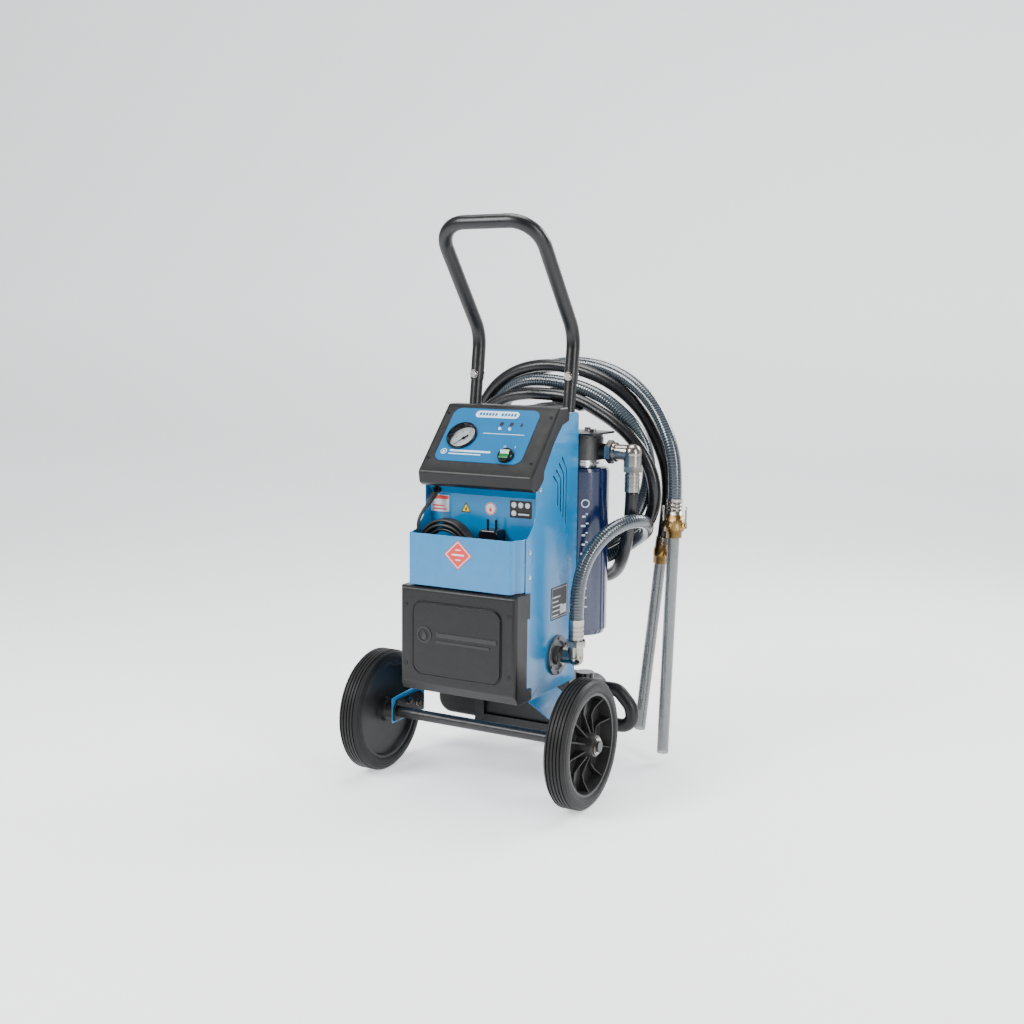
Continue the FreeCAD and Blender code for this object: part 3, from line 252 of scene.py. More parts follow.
surfaceAge, floorDust, edgeRubAndGlint = makeSurfaceAge(), makeFloorDust(), makeEdgeRubAndGlint()
pebbleSkin, brushedLines, spiralWire, tyreRings = makePebble(), makeBrushed(), makeSpiral(), makeRings()

# colours are linear; "skin" picks the relief: grain, pebble, brushed, spiral or rings
finishes = {
    # bluePaint: its lighter blue edge colour is a painted highlight along the folds and rims
    "bluePaint": {"color": (0.0, 0.165, 0.385), "tint": (0.0, 0.125, 0.32), "amount": 0.35, "patch": 5, "rough": 0.26,
                  "spread": 0.12, "grain": 420, "bump": 0.05, "coat": 0.35, "edge": (0.2, 0.5, 0.8), "rub": 0.35},
    "labelBlue": {"color": (0.0, 0.125, 0.31), "tint": (0.0, 0.10, 0.26), "amount": 0.3, "patch": 9, "rough": 0.34,
                  "spread": 0.1, "grain": 700, "bump": 0.02, "coat": 0.1, "shine": 0.35},
    # canBlue: its lighter blue edge colour is a painted highlight along the can's rims
    "canBlue": {"color": (0.0, 0.008, 0.05), "tint": (0.0, 0.006, 0.038), "amount": 0.4, "patch": 9, "rough": 0.2,
                "spread": 0.12, "grain": 300, "bump": 0.04, "coat": 0.6, "edge": (0.2, 0.3, 0.5), "rub": 0.3},
    "blackPowder": {"color": (0.0035, 0.0035, 0.004), "tint": (0.007, 0.007, 0.0075), "amount": 0.5, "patch": 14,
                    "rough": 0.3, "spread": 0.16, "grain": 900, "bump": 0.12, "skin": "pebble", "shine": 0.4,
                    "edge": (0.06, 0.06, 0.06), "rub": 0.5},
    "blackMoulded": {"color": (0.0035, 0.0035, 0.004), "tint": (0.0075, 0.0075, 0.008), "amount": 0.5, "patch": 11,
                     "rough": 0.37, "spread": 0.16, "grain": 620, "bump": 0.2, "skin": "pebble", "shine": 0.35,
                     "edge": (0.05, 0.05, 0.05), "rub": 0.5, "dust": 0.025},
    "blackGloss": {"color": (0.004, 0.004, 0.0045), "tint": (0.008, 0.008, 0.0085), "amount": 0.4, "patch": 20,
                   "rough": 0.2, "spread": 0.12, "grain": 800, "bump": 0.04, "shine": 0.45},
    "tyreRubber": {"color": (0.003, 0.003, 0.0033), "tint": (0.008, 0.008, 0.008), "amount": 0.55, "patch": 16,
                   "rough": 0.5, "spread": 0.2, "grain": 170, "bump": 0.3, "skin": "rings", "dust": 0.03, "shine": 0.25},
    "hubPlastic": {"color": (0.004, 0.004, 0.0045), "tint": (0.01, 0.01, 0.0105), "amount": 0.5, "patch": 18,
                   "rough": 0.4, "spread": 0.18, "grain": 700, "bump": 0.16, "skin": "pebble", "dust": 0.05,
                   "shine": 0.4},
    "softRubber": {"color": (0.006, 0.006, 0.0065), "tint": (0.012, 0.012, 0.0125), "amount": 0.5, "patch": 25,
                   "rough": 0.4, "spread": 0.2, "grain": 500, "bump": 0.15, "shine": 0.45},
    "zincPlate": {"color": (0.33, 0.31, 0.285), "tint": (0.16, 0.13, 0.105), "amount": 0.6, "patch": 30, "rough": 0.22,
                  "spread": 0.25, "grain": 260, "bump": 0.06, "metal": 1.0, "edge": (0.8, 0.77, 0.72), "rub": 0.5},
    "brightSteel": {"color": (0.62, 0.63, 0.64), "tint": (0.42, 0.43, 0.44), "amount": 0.4, "patch": 26, "rough": 0.22,
                    "spread": 0.2, "grain": 160, "bump": 0.08, "metal": 1.0, "skin": "brushed"},
    "greyCasting": {"color": (0.13, 0.135, 0.14), "tint": (0.07, 0.075, 0.08), "amount": 0.55, "patch": 24, "rough": 0.42,
                    "spread": 0.2, "grain": 420, "bump": 0.3, "metal": 0.85, "skin": "pebble"},
    "blackCasting": {"color": (0.004, 0.004, 0.0045), "tint": (0.009, 0.009, 0.0095), "amount": 0.5, "patch": 22,
                     "rough": 0.34, "spread": 0.2, "grain": 500, "bump": 0.25, "skin": "pebble", "shine": 0.5,
                     "edge": (0.1, 0.1, 0.1), "rub": 0.4},
    "brass": {"color": (0.25, 0.15, 0.05), "tint": (0.12, 0.065, 0.022), "amount": 0.6, "patch": 34, "rough": 0.26,
              "spread": 0.25, "grain": 220, "bump": 0.07, "metal": 1.0, "edge": (0.75, 0.56, 0.28), "rub": 0.6},
    "clearTube": {"color": (0.34, 0.355, 0.36), "tint": (0.22, 0.23, 0.235), "amount": 0.5, "patch": 12, "rough": 0.12,
                  "spread": 0.1, "grain": 90, "bump": 0.05, "clear": 0.65, "coat": 0.4},
    "ribbedClear": {"color": (0.028, 0.040, 0.050), "tint": (0.018, 0.026, 0.034), "amount": 0.4, "patch": 14,
                    "rough": 0.15, "spread": 0.1, "grain": 1, "bump": 0.4, "clear": 0.2, "coat": 0.8, "skin": "spiral",
                    "wire": (0.085, 0.11, 0.13)},
    "blackHose": {"color": (0.0035, 0.004, 0.005), "tint": (0.008, 0.009, 0.0105), "amount": 0.5, "patch": 10,
                  "rough": 0.27, "spread": 0.14, "grain": 700, "bump": 0.08, "shine": 0.45},
    "greenLens": {"color": (0.003, 0.12, 0.03), "tint": (0.002, 0.08, 0.02), "amount": 0.4, "patch": 60, "rough": 0.22,
                  "spread": 0.1, "grain": 900, "bump": 0.03, "glow": (0.01, 0.4, 0.1), "coat": 0.3},
    "paleLens": {"color": (0.62, 0.72, 0.74), "tint": (0.5, 0.6, 0.62), "amount": 0.4, "patch": 90, "rough": 0.16,
                 "spread": 0.1, "grain": 900, "bump": 0.02, "coat": 0.5},
    "dialFace": {"color": (0.60, 0.63, 0.65), "tint": (0.5, 0.53, 0.55), "amount": 0.4, "patch": 30, "rough": 0.45,
                 "spread": 0.1, "grain": 900, "bump": 0.02},
    "paleInk": {"color": (0.62, 0.76, 0.86), "tint": (0.48, 0.62, 0.74), "amount": 0.4, "patch": 60, "rough": 0.4,
                "spread": 0.1, "grain": 800, "bump": 0.03},
    "darkInk": {"color": (0.004, 0.004, 0.0045), "tint": (0.01, 0.01, 0.01), "amount": 0.4, "patch": 60, "rough": 0.45,
                "spread": 0.1, "grain": 800, "bump": 0.03},
    "redInk": {"color": (0.62, 0.03, 0.03), "tint": (0.5, 0.022, 0.022), "amount": 0.4, "patch": 40, "rough": 0.4,
               "spread": 0.1, "grain": 800, "bump": 0.03},
    "yellowInk": {"color": (0.78, 0.56, 0.02), "tint": (0.66, 0.46, 0.02), "amount": 0.4, "patch": 40, "rough": 0.4,
                  "spread": 0.1, "grain": 800, "bump": 0.03},
    "studioFloor": {"color": (0.90, 0.91, 0.92), "tint": (0.88, 0.89, 0.90), "amount": 0.5, "patch": 2, "rough": 0.8,
                    "spread": 0.1, "grain": 60, "bump": 0.01, "glow": (0.97, 0.98, 1.0), "glowPower": 0.75},
}


def makeFinish(name, spec):
    material = bpy.data.materials.new(name)
    material.use_nodes = True
    tree = material.node_tree
    shader = tree.nodes["Principled BSDF"]
    shader.inputs["Metallic"].default_value = spec.get("metal", 0.0)
    shader.inputs["Coat Weight"].default_value = spec.get("coat", 0.0)
    shader.inputs["Coat Roughness"].default_value = 0.08
    shader.inputs["Transmission Weight"].default_value = spec.get("clear", 0.0)
    shader.inputs["Specular IOR Level"].default_value = spec.get("shine", 0.5)

    def place(group, **sockets):
        return addNode(tree, "ShaderNodeGroup", {"node_tree": group}, **sockets)

    age = place(surfaceAge, n0=(*spec["color"], 1), n1=(*spec["tint"], 1), n2=spec["amount"],
                n3=float(spec["patch"]), n4=spec["rough"], n5=spec["spread"], n6=float(spec["grain"]))
    colour, height = age.outputs["Color"], age.outputs["Height"]
    # lighter colour along sharp edges: rubbed wear on most finishes, a painted edge highlight on bluePaint and canBlue
    if "edge" in spec:
        colour = place(edgeRubAndGlint, n0=colour, n1=(*spec["edge"], 1), n2=spec["rub"]).outputs["Color"]
    if "dust" in spec:
        colour = place(floorDust, n0=colour, n2=0.45, n3=spec["dust"]).outputs["Color"]
    skin = spec.get("skin", "grain")
    if skin == "pebble":
        height = place(pebbleSkin, n0=float(spec["grain"])).outputs["Height"]
    elif skin == "brushed":
        height = place(brushedLines, n1=float(spec["grain"])).outputs["Tone"]
    elif skin == "rings":
        height = place(tyreRings, n0=tuple(at(0, 0, 130)), n1=float(spec["grain"])).outputs["Height"]
    elif skin == "spiral":
        wire = place(spiralWire, n0=1.0, n1=0.2)
        height = wire.outputs["Height"]
        colour = mixColour(tree, wire.outputs["Mask"], colour, (*spec["wire"], 1))
    bump = addNode(tree, "ShaderNodeBump", None, Strength=spec["bump"], Distance=0.001, Height=height)
    tree.links.new(colour, shader.inputs["Base Color"])
    tree.links.new(age.outputs["Roughness"], shader.inputs["Roughness"])
    tree.links.new(bump.outputs["Normal"], shader.inputs["Normal"])
    if "glow" in spec:
        shader.inputs["Emission Color"].default_value = (*spec["glow"], 1)
        shader.inputs["Emission Strength"].default_value = spec.get("glowPower", 0.08)
    return material


materials = {name: makeFinish(name, spec) for name, spec in finishes.items()}


def makeGaugeGlass():
    material = bpy.data.materials.new("gaugeGlass")
    material.use_nodes = True
    shader = material.node_tree.nodes["Principled BSDF"]
    age = addNode(material.node_tree, "ShaderNodeGroup", {"node_tree": surfaceAge}, n0=(0.97, 0.98, 0.98, 1),
                  n1=(0.9, 0.93, 0.94, 1), n2=0.3, n3=30.0, n4=0.03, n5=0.03, n6=500.0)
    material.node_tree.links.new(age.outputs["Color"], shader.inputs["Base Color"])
    material.node_tree.links.new(age.outputs["Roughness"], shader.inputs["Roughness"])
    shader.inputs["Transmission Weight"].default_value = 1.0
    shader.inputs["IOR"].default_value = 1.12
    return material


materials["gaugeGlass"] = makeGaugeGlass()
print("materials ready:", len(materials))


# mesh tools
def addMesh(name, mesh, finish, body="cart", slot=None):
    piece = bpy.data.objects.new(name, mesh)
    bpy.context.scene.collection.objects.link(piece)
    mesh.materials.append(materials[finish])
    if body:
        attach(piece, body)
    return piece


def meshFrom(name, work, smooth=False):
    mesh = bpy.data.meshes.new(name)
    bmesh.ops.recalc_face_normals(work, faces=work.faces)
    for face in work.faces:
        face.smooth = smooth
    work.to_mesh(mesh)
    work.free()
    return mesh


# the floor curves up into a backdrop; it lies just under the wheels
floorShape = {"half": 9, "drop": 0.0005,
              "profile": [(-7, 0), (3.4, 0), (3.9, 0.05), (4.3, 0.25), (4.55, 0.6), (4.6, 1.1), (4.6, 6)]}


def addFloor(spec):
    work = bmesh.new()
    rows = []
    for depth, height in spec["profile"]:
        rows.append([work.verts.new((x, depth, height - spec["drop"])) for x in (-spec["half"], spec["half"])])
    for low, high in zip(rows, rows[1:]):
        work.faces.new((low[0], low[1], high[1], high[0]))
    floor = addMesh("studioFloor", meshFrom("studioFloor", work, True), "studioFloor", None)


addFloor(floorShape)


def pathOf(points, name):  # the smooth line of a cord, read from its own spline
    curve = bpy.data.curves.new(name, "CURVE")
    curve.dimensions, curve.resolution_u = "3D", 12
    spline = curve.splines.new("NURBS")
    spline.points.add(len(points) - 1)
    for point, place in zip(spline.points, points):
        point.co = (*place, 1)
    spline.order_u, spline.use_endpoint_u = 3, True
    holder = bpy.data.objects.new(name, curve)
    bpy.context.scene.collection.objects.link(holder)
    bpy.context.view_layer.update()
    line = bpy.data.meshes.new_from_object(holder.evaluated_get(bpy.context.evaluated_depsgraph_get()))
    path = [v.co.copy() for v in line.vertices]
    bpy.data.objects.remove(holder)
    bpy.data.meshes.remove(line)
    return path


def evenly(path, step):
    reach = [0.0]
    for a, b in zip(path, path[1:]):
        reach.append(reach[-1] + (b - a).length)
    count = max(2, int(reach[-1] / step))
    made, k = [], 0
    for i in range(count + 1):
        want = reach[-1] * i / count
        while k < len(reach) - 2 and reach[k + 1] < want:
            k += 1
        part = (want - reach[k]) / max(1e-9, reach[k + 1] - reach[k])
        made.append(path[k].lerp(path[k + 1], min(1.0, part)))
    return made, reach[-1]


def tubeAlong(name, path, step, radiusAt, sides, pitch=0.007):  # a skin round a path; length and girth are its UVs
    places, total = evenly(path, step)
    work = bmesh.new()
    uv = work.loops.layers.uv.new("lengthGirth")
    side, rings = None, []
    for i, here in enumerate(places):
        way = (places[min(i + 1, len(places) - 1)] - places[max(i - 1, 0)]).normalized()
        if side is None:
            side = way.orthogonal().normalized()
        side = (side - way * side.dot(way)).normalized()
        over = way.cross(side)
        radius = radiusAt(total * i / (len(places) - 1), total)
        rings.append([work.verts.new(here + (side * math.cos(t) + over * math.sin(t)) * radius)
                      for t in (2 * math.pi * k / sides for k in range(sides))])
    for i, (low, high) in enumerate(zip(rings, rings[1:])):
        for k in range(sides):
            n = (k + 1) % sides
            face = work.faces.new((low[k], low[n], high[n], high[k]))
            for loop, along, aroundStep in zip(face.loops, (i, i, i + 1, i + 1), (k, k + 1, k + 1, k)):
                loop[uv].uv = (total * along / (len(places) - 1) / pitch, aroundStep / sides)
    work.faces.new(rings[0])
    work.faces.new(rings[-1])
    return meshFrom(name, work, True)


# a coupling has a plated ferrule on the hose and a brass body below it
couplings = {
    "suction_coupling": {"finish": "brass", "ferrule": 37, "slot": "brass"},
    "delivery_coupling": {"finish": "brass", "ferrule": 14, "slot": "zinc"},
}
weldGap = 0.00001


def camel(name):
    first, *rest = name.split("_")
    return first + "".join(w.capitalize() for w in rest)


def splitCoupling(node, spec):
    work = bmesh.new()
    work.from_mesh(nodes[node].data)
    bmesh.ops.remove_doubles(work, verts=work.verts, dist=weldGap)
    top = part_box(node)[1].z
    for face in work.faces:
        face.material_index = 1 if face.calc_center_median().z > top - spec["ferrule"] / 1000 else 0
    name = camel(node) + "Plated"
    mesh = meshFrom(name, work, True)
    mesh.set_sharp_from_angle(angle=math.radians(32))
    piece = addMesh(name, mesh, spec["finish"], nodes[node]["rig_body"], spec["slot"])
    mesh.materials.append(materials["zincPlate"])
    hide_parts(node)
    return piece


plated = {node: splitCoupling(node, spec) for node, spec in couplings.items()}

# the two hoses: each leaves its fitting, lies on the hanger in loose turns and ends in its lance
suctionHose = {
    "diameter": 30, "length": 3.1, "rib": 0.35, "pitch": 6.0, "centre": (4, 626),
    "start": [(175, 99, 356), (175, 99, 416), (184, 118, 478), (207, 154, 526), (237, 202, 552), (257, 254, 549),
              (243, 306, 520), (198, 331, 488), (150, 332, 456), (98, 332, 437)],
    # angle clockwise from the top, distance from the middle of the turns, depth
    "turns": [(170, 208, 332), (215, 205, 345), (245, 203, 352), (275, 205, 355), (300, 218, 357), (320, 229, 357),
              (335, 226, 350), (355, 208, 350), (377, 202, 350), (407, 208, 350), (430, 222, 350), (451, 221, 348),
              (463, 217, 341), (475, 209, 330), (499, 188, 330), (514, 179, 332), (540, 175, 332), (575, 172, 340),
              (605, 173, 360), (635, 187, 382), (660, 214, 392), (680, 232, 394), (695, 240, 393), (715, 247, 392),
              (730, 251, 390), (745, 258, 384), (760, 267, 374), (780, 278, 352)],
    "finish": [(282, 334, 700), (292, 332, 643), (292, 332, 590)],
}
deliveryHose = {
    "diameter": 28, "length": 3.0, "rib": 0.0, "pitch": 7.0, "centre": (4, 626),
    "start": [(225, 254, 608), (225, 254, 566), (213, 264, 512), (189, 298, 456), (152, 342, 412), (104, 362, 396),
              (50, 364, 395)],
    "turns": [(185, 233, 363), (215, 240, 345), (245, 238, 328), (275, 231, 325), (300, 228, 326), (315, 221, 328),
              (337, 194, 328), (355, 179, 329), (375, 177, 329), (387, 177, 329), (400, 181, 328), (418, 200, 324),
              (432, 221, 320), (446, 241, 320), (457, 249, 326), (467, 248, 336), (477, 240, 354), (487, 227, 363),
              (499, 212, 366), (516, 201, 366), (540, 199, 366), (575, 197, 378), (605, 214, 385), (635, 239, 382),
              (660, 255, 374), (675, 261, 366), (695, 257, 362), (715, 243, 362), (737, 237, 362), (760, 238, 367),
              (775, 239, 376)],
    "finish": [(230, 379, 705), (252, 374, 660), (263, 367, 608), (261, 364, 554), (255.5, 364, 500)],
}


def stationAt(stations, angle):  # a smooth value between the stations round the turns
    for i in range(len(stations) - 1):
        if stations[i][0] <= angle <= stations[i + 1][0]:
            break
    before, after = stations[max(i - 1, 0)], stations[min(i + 2, len(stations) - 1)]
    low, high = stations[i], stations[i + 1]
    span = high[0] - low[0]
    t = (angle - low[0]) / span
    values = []
    for k in (1, 2):
        slopeLow = (high[k] - before[k]) / (high[0] - before[0]) * span
        slopeHigh = (after[k] - low[k]) / (after[0] - low[0]) * span
        values.append(low[k] * (2 * t ** 3 - 3 * t * t + 1) + slopeLow * (t ** 3 - 2 * t * t + t)
                      + high[k] * (3 * t * t - 2 * t ** 3) + slopeHigh * (t ** 3 - t * t))
    return values


def hosePoints(spec, step=14):
    first, last = spec["turns"][0][0], spec["turns"][-1][0]
    count = round((last - first) / step)
    turns = []
    for i in range(count + 1):
        angle = first + (last - first) * i / count
        reach, depth = stationAt(spec["turns"], angle)
        turns.append((spec["centre"][0] + reach * math.sin(math.radians(angle)), depth,
                      spec["centre"][1] + reach * math.cos(math.radians(angle))))
    return [at(*p) for p in spec["start"] + turns + spec["finish"]]


def makeHose(name, spec, finish, slot, replaced):
    radius = spec["diameter"] / 2000

    def girth(along, total):
        return radius - spec["rib"] / 2000 * (1 + math.cos(2 * math.pi * along / (spec["pitch"] / 1000)))

    path = pathOf(hosePoints(spec), name + "Line")
    step = spec["pitch"] / 4000 if spec["rib"] else 0.005
    sides = 18 if spec["rib"] else 20
    mesh = tubeAlong(name, path, step, girth, sides, spec["pitch"] / 1000)
    hose = addMesh(name, mesh, finish, "cart", slot)
    total = sum((b - a).length for a, b in zip(path, path[1:]))
    print(name, "length", round(total, 3))
    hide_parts(*replaced)


makeHose(
    "suctionHose", suctionHose, "ribbedClear", "clear_pvc",
    ["suction_hose_feed", "suction_hose_coil", "suction_hose_tail"])
makeHose(
    "deliveryHose", deliveryHose, "blackHose", "black_hose",
    ["delivery_hose_feed", "delivery_hose_coil", "delivery_hose_tail"])

# the mains lead: out of its gland, wound up in the pocket and up into its plug
mainsLead = {
    "diameter": 7, "length": 4.0, "centre": (-59, -31, 498.3),
    "layers": (61.0, 53.2, 45.4), "lanes": 4, "spacing": 7.7,
    "start": [(-107, 0.5, 607), (-107, -14.5, 593.7), (-115, -32, 575), (-121, -43, 552)],
    "finish": [(-62, -10, 449), (-30, -7, 446), (0, -3, 449), (22, 0, 462), (29.4, 0.7, 480), (29.4, 0.7, 495)],
    "startAngle": 158, "fan": 0.22, "stepDown": 0.3, "boot": 30, "plugBoot": 24,
}
bootStep = 1.5


def leadPoints(spec, perTurn=16):
    cx, cy, cz = spec["centre"]
    lanes, gap = spec["lanes"], spec["spacing"]
    total = len(spec["layers"]) * lanes
    steps = int((total - 1 + 0.2) * perTurn)
    turns = []
    for i in range(steps + 1):
        turn = i / perTurn
        layer = min(int(turn / lanes), len(spec["layers"]) - 1)
        within = turn - layer * lanes
        reach = spec["layers"][layer]
        if layer and within < spec["stepDown"]:  # steps down from the layer above
            share = within / spec["stepDown"]
            above = spec["layers"][layer - 1]
            reach = above + (reach - above) * share * share * (3 - 2 * share)
        lane = (within / lanes - 0.5) * (lanes - 1) * gap
        lane = lane if layer % 2 == 0 else -lane
        phi = math.radians(spec["startAngle"]) + 2 * math.pi * turn
        fan = 1 + spec["fan"] * max(0.0, math.sin(phi)) ** 2
        reach = spec["layers"][1] + (reach - spec["layers"][1]) * fan + 1.5 * math.cos(2 * phi + 0.6)
        turns.append((cx + reach * math.cos(phi), cy + lane * fan, cz + reach * math.sin(phi)))
    return [at(*p) for p in spec["start"] + turns + spec["finish"]]


def makeLead(spec):
    points = leadPoints(spec)
    path = pathOf(points, "mainsLeadLine")
    total = sum((b - a).length for a, b in zip(path, path[1:]))
    print("mainsLead length", round(total, 3))
    radius = spec["diameter"] / 2000
    mesh = tubeAlong("mainsLead", path, 0.004, lambda s, t: radius, 12)
    lead = addMesh("mainsLead", mesh, "softRubber", "cart", "black_rubber")
    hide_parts("mains_cable", "mains_cable_coil")
    places, total = evenly(path, bootStep / 1000)
    count, plugCount = int(spec["boot"] / bootStep), int(spec["plugBoot"] / bootStep)

    def ribbed(wide, narrow):
        def girth(along, whole):
            share = along / whole
            rib = 0.0005 if math.fmod(along, 0.005) < 0.003 else 0.0
            return wide + (narrow - wide) * share + rib
        return girth

    mesh = tubeAlong("leadBoot", places[:count], 0.0005, ribbed(0.0062, 0.0041), 20)
    boot = addMesh("leadBoot", mesh, "softRubber", "cart", "black_rubber")
    mesh = tubeAlong("plugBoot", places[-plugCount:], 0.0005, ribbed(0.0042, 0.0068), 20)
    plugBoot = addMesh("plugBoot", mesh, "softRubber", "cart", "black_rubber")


makeLead(mainsLead)
print("hoses and lead ready")

# folded and moulded pieces, with their edges eased so that they catch the light
# "side" is the ease on the left and right faces
easedEdges = {
    "side_panel_left": {"finish": "bluePaint", "slot": "blue_paint", "edge": 0.8},
    "side_panel_right": {"finish": "bluePaint", "slot": "blue_paint", "edge": 0.8},
    "recess_panel": {"finish": "bluePaint", "slot": "blue_paint", "edge": 0.7},
    "cable_pocket": {"finish": "bluePaint", "slot": "blue_paint", "edge": 0.8},
    "rear_panel": {"finish": "bluePaint", "slot": "blue_paint", "edge": 0.8},
    "lower_cover": {"finish": "blackMoulded", "slot": "black_moulded", "edge": 0.9},
    "console_bezel": {"finish": "blackMoulded", "slot": "black_moulded", "edge": 0.9, "side": 5.5},
    "spill_tank": {"finish": "blackMoulded", "slot": "black_moulded", "edge": 1.5},
    "hub_left": {"finish": "hubPlastic", "slot": "black_moulded", "edge": 0.8},
    "hub_right": {"finish": "hubPlastic", "slot": "black_moulded", "edge": 0.8},
    "hose_hanger": {"finish": "blackPowder", "slot": "black_powder", "edge": 0.8},
    "axle_plates": {"finish": "blackPowder", "slot": "black_powder", "edge": 0.7},
    "mains_plug": {"finish": "blackGloss", "slot": "black_gloss", "edge": 0.5},
    "filter_bracket": {"finish": "blackPowder", "slot": "black_powder", "edge": 0.5},
}


def sharpRuns(work, least=0.03, angle=38):  # sharp edges in runs that are longer than a screw hole
    sharp = {e for e in work.edges if len(e.link_faces) == 2 and e.calc_face_angle(0) > math.radians(angle)}
    kept = set()
    while sharp:
        run, waiting = set(), [sharp.pop()]
        while waiting:
            edge = waiting.pop()
            run.add(edge)
            for vert in edge.verts:
                for other in vert.link_edges:
                    if other in sharp:
                        sharp.remove(other)
                        waiting.append(other)
        if sum(e.calc_length() for e in run) > least:
            kept |= run
    return kept


def easeEdges(node, spec, near=0.0004):
    low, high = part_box(node)
    work = bmesh.new()
    work.from_mesh(nodes[node].data)
    bmesh.ops.remove_doubles(work, verts=work.verts, dist=weldGap)
    bmesh.ops.dissolve_limit(work, angle_limit=math.radians(0.6), verts=work.verts, edges=work.edges)
    weight = work.edges.layers.float.new("bevel_weight_edge")
    wide = max(spec["edge"], spec.get("side", 0))
    for edge in sharpRuns(work):
        outer = "side" in spec and any(all(abs(v.co.x - x) < near for v in edge.verts)
                                      for x in (low.x, high.x))
        edge[weight] = 1.0 if outer else spec["edge"] / wide
    name = camel(node) + "Eased"
    piece = addMesh(name, meshFrom(name, work, True), spec["finish"], nodes[node]["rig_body"], spec["slot"])
    bevel = piece.modifiers.new("easedEdges", "BEVEL")
    bevel.width, bevel.segments, bevel.limit_method = wide / 1000, 4 if "side" in spec else 3, "WEIGHT"
    bevel.use_clamp_overlap, bevel.miter_outer = False, "MITER_ARC"
    normals = piece.modifiers.new("flatNormals", "WEIGHTED_NORMAL")
    normals.keep_sharp = True
    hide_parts(node)
    return piece


for node, spec in easedEdges.items():
    easeEdges(node, spec)
print("eased pieces ready:", len(easedEdges))

# every other frame node keeps its shape and takes one of the finishes
nodeFinishes = {
    "bluePaint": ["base_panel"],
    "labelBlue": ["console_label"],
    "canBlue": ["filter_can"],
    "blackPowder": ["axle", "handle_tube", "handle_legs", "tank_shelf", "panel_screws"],
    "blackGloss": ["switch_housing", "tank_cap", "mains_gland", "gauge_case", "gauge_needle"],
    "tyreRubber": ["tyre_left", "tyre_right"],
    "softRubber": ["foot_pad"],
    "zincPlate": ["frame_bolts", "axle_rings", "pressure_pipe", "suction_elbow", "outlet_elbow", "hose_fittings",
                  "cam_lever_left", "cam_lever_right"],
    "brightSteel": ["pump_rotor", "filter_neck", "panel_rivets"],
    "greyCasting": ["motor_body", "pump_housing", "suction_flange"],
    "blackCasting": ["filter_head"],
    "clearTube": ["suction_lance", "delivery_lance"],
    "greenLens": ["switch_rocker"],
    "paleLens": ["indicator_lamps"],
    "gaugeGlass": ["gauge_glass"],
}
for finish, names in nodeFinishes.items():
    for name in names:
        nodes[name].data.materials.clear()
        nodes[name].data.materials.append(materials[finish])
print("frame finishes ready")


# flat pieces: each shape is an outline, or an outline with a hole
def roundedBox(x0, x1, y0, y1, radius, steps=6):
    corners = [(x1 - radius, y1 - radius, 0), (x0 + radius, y1 - radius, 90), (x0 + radius, y0 + radius, 180),
               (x1 - radius, y0 + radius, 270)]
    return [(cx + radius * math.cos(math.radians(a + 90 * k / steps)),
             cy + radius * math.sin(math.radians(a + 90 * k / steps)))
            for cx, cy, a in corners for k in range(steps + 1)]


def disc(x, y, radius, steps=32):
    return [(x + radius * math.cos(2 * math.pi * k / steps), y + radius * math.sin(2 * math.pi * k / steps))
            for k in range(steps)]


def drop(x, y, size, steps=28):
    made = []
    for k in range(steps):
        t = 2 * math.pi * k / steps
        made.append((x + size * math.sin(t) * math.sin(t / 2) ** 1.5, y + size * 1.15 * math.cos(t)))
    return made


def flatPiece(name, shapes, place, thick, finish, slot=None, body="cart"):
    work = bmesh.new()
    for shape in shapes:
        outer, inner = shape if isinstance(shape, tuple) else (shape, None)
        for loop in (outer, inner):
            if loop is None:
                continue
            low = [work.verts.new(place(u, v, 0)) for u, v in loop]
            top = [work.verts.new(place(u, v, thick)) for u, v in loop]
            for k in range(len(loop)):
                n = (k + 1) % len(loop)
                work.faces.new((low[k], low[n], top[n], top[k]))
            if loop is outer:
                outerTop = top
                if inner is None:
                    work.faces.new(top)
            else:
                for k in range(len(loop)):
                    n = (k + 1) % len(loop)
                    work.faces.new((outerTop[k], outerTop[n], top[n], top[k]))
    return addMesh(name, meshFrom(name, work), finish, body, slot)


def figures(name, words, place, finish, slot=None, body="cart"):  # plain numbers on a dial
    work = bmesh.new()
    for text, u, v, size in words:
        font = bpy.data.curves.new("figure", "FONT")
        font.body, font.size, font.align_x, font.align_y = text, size, "CENTER", "CENTER"
        font.extrude, font.resolution_u = 0.04, 3
        holder = bpy.data.objects.new("figure", font)
        bpy.context.scene.collection.objects.link(holder)
        bpy.context.view_layer.update()
        shape = bpy.data.meshes.new_from_object(holder.evaluated_get(bpy.context.evaluated_depsgraph_get()))
        base = len(work.verts)
        work.from_mesh(shape)
        work.verts.ensure_lookup_table()
        for vert in work.verts[base:]:
            vert.co = place(vert.co.x + u, vert.co.y + v, vert.co.z + 0.05)
        bpy.data.objects.remove(holder)
        bpy.data.meshes.remove(shape)
    return addMesh(name, meshFrom(name, work), finish, body, slot)


consoleFace = {"tilt": 47.9, "top": (0, 95, 789), "gauge": (-63.5, 86.0), "switch": (57, 131),
               "lamps": (16.5, 39.5)}
gaugeDial = {
    "radius": 29.2, "lift": -7.4, "hole": 1.6, "thick": 0.25, "start": 225, "sweep": 270, "steps": 50,
    "outer": 0.95, "long": (0.80, 0.42), "middle": (0.86, 0.16), "short": (0.90, 0.16),
    "figureReach": 0.64, "figureSize": 6.4, "figures": 6, "limit": (0.97, 0.955),
}


def onConsole(lift):
    tilt = math.radians(consoleFace["tilt"])
    up, out = Vector((0, math.cos(tilt), math.sin(tilt))), Vector((0, -math.sin(tilt), math.cos(tilt)))
    top = at(*consoleFace["top"])

    def place(u, v, w):
        return top + (Vector((u, 0, 0)) + up * v + out * (w + lift)) / 1000
    return place


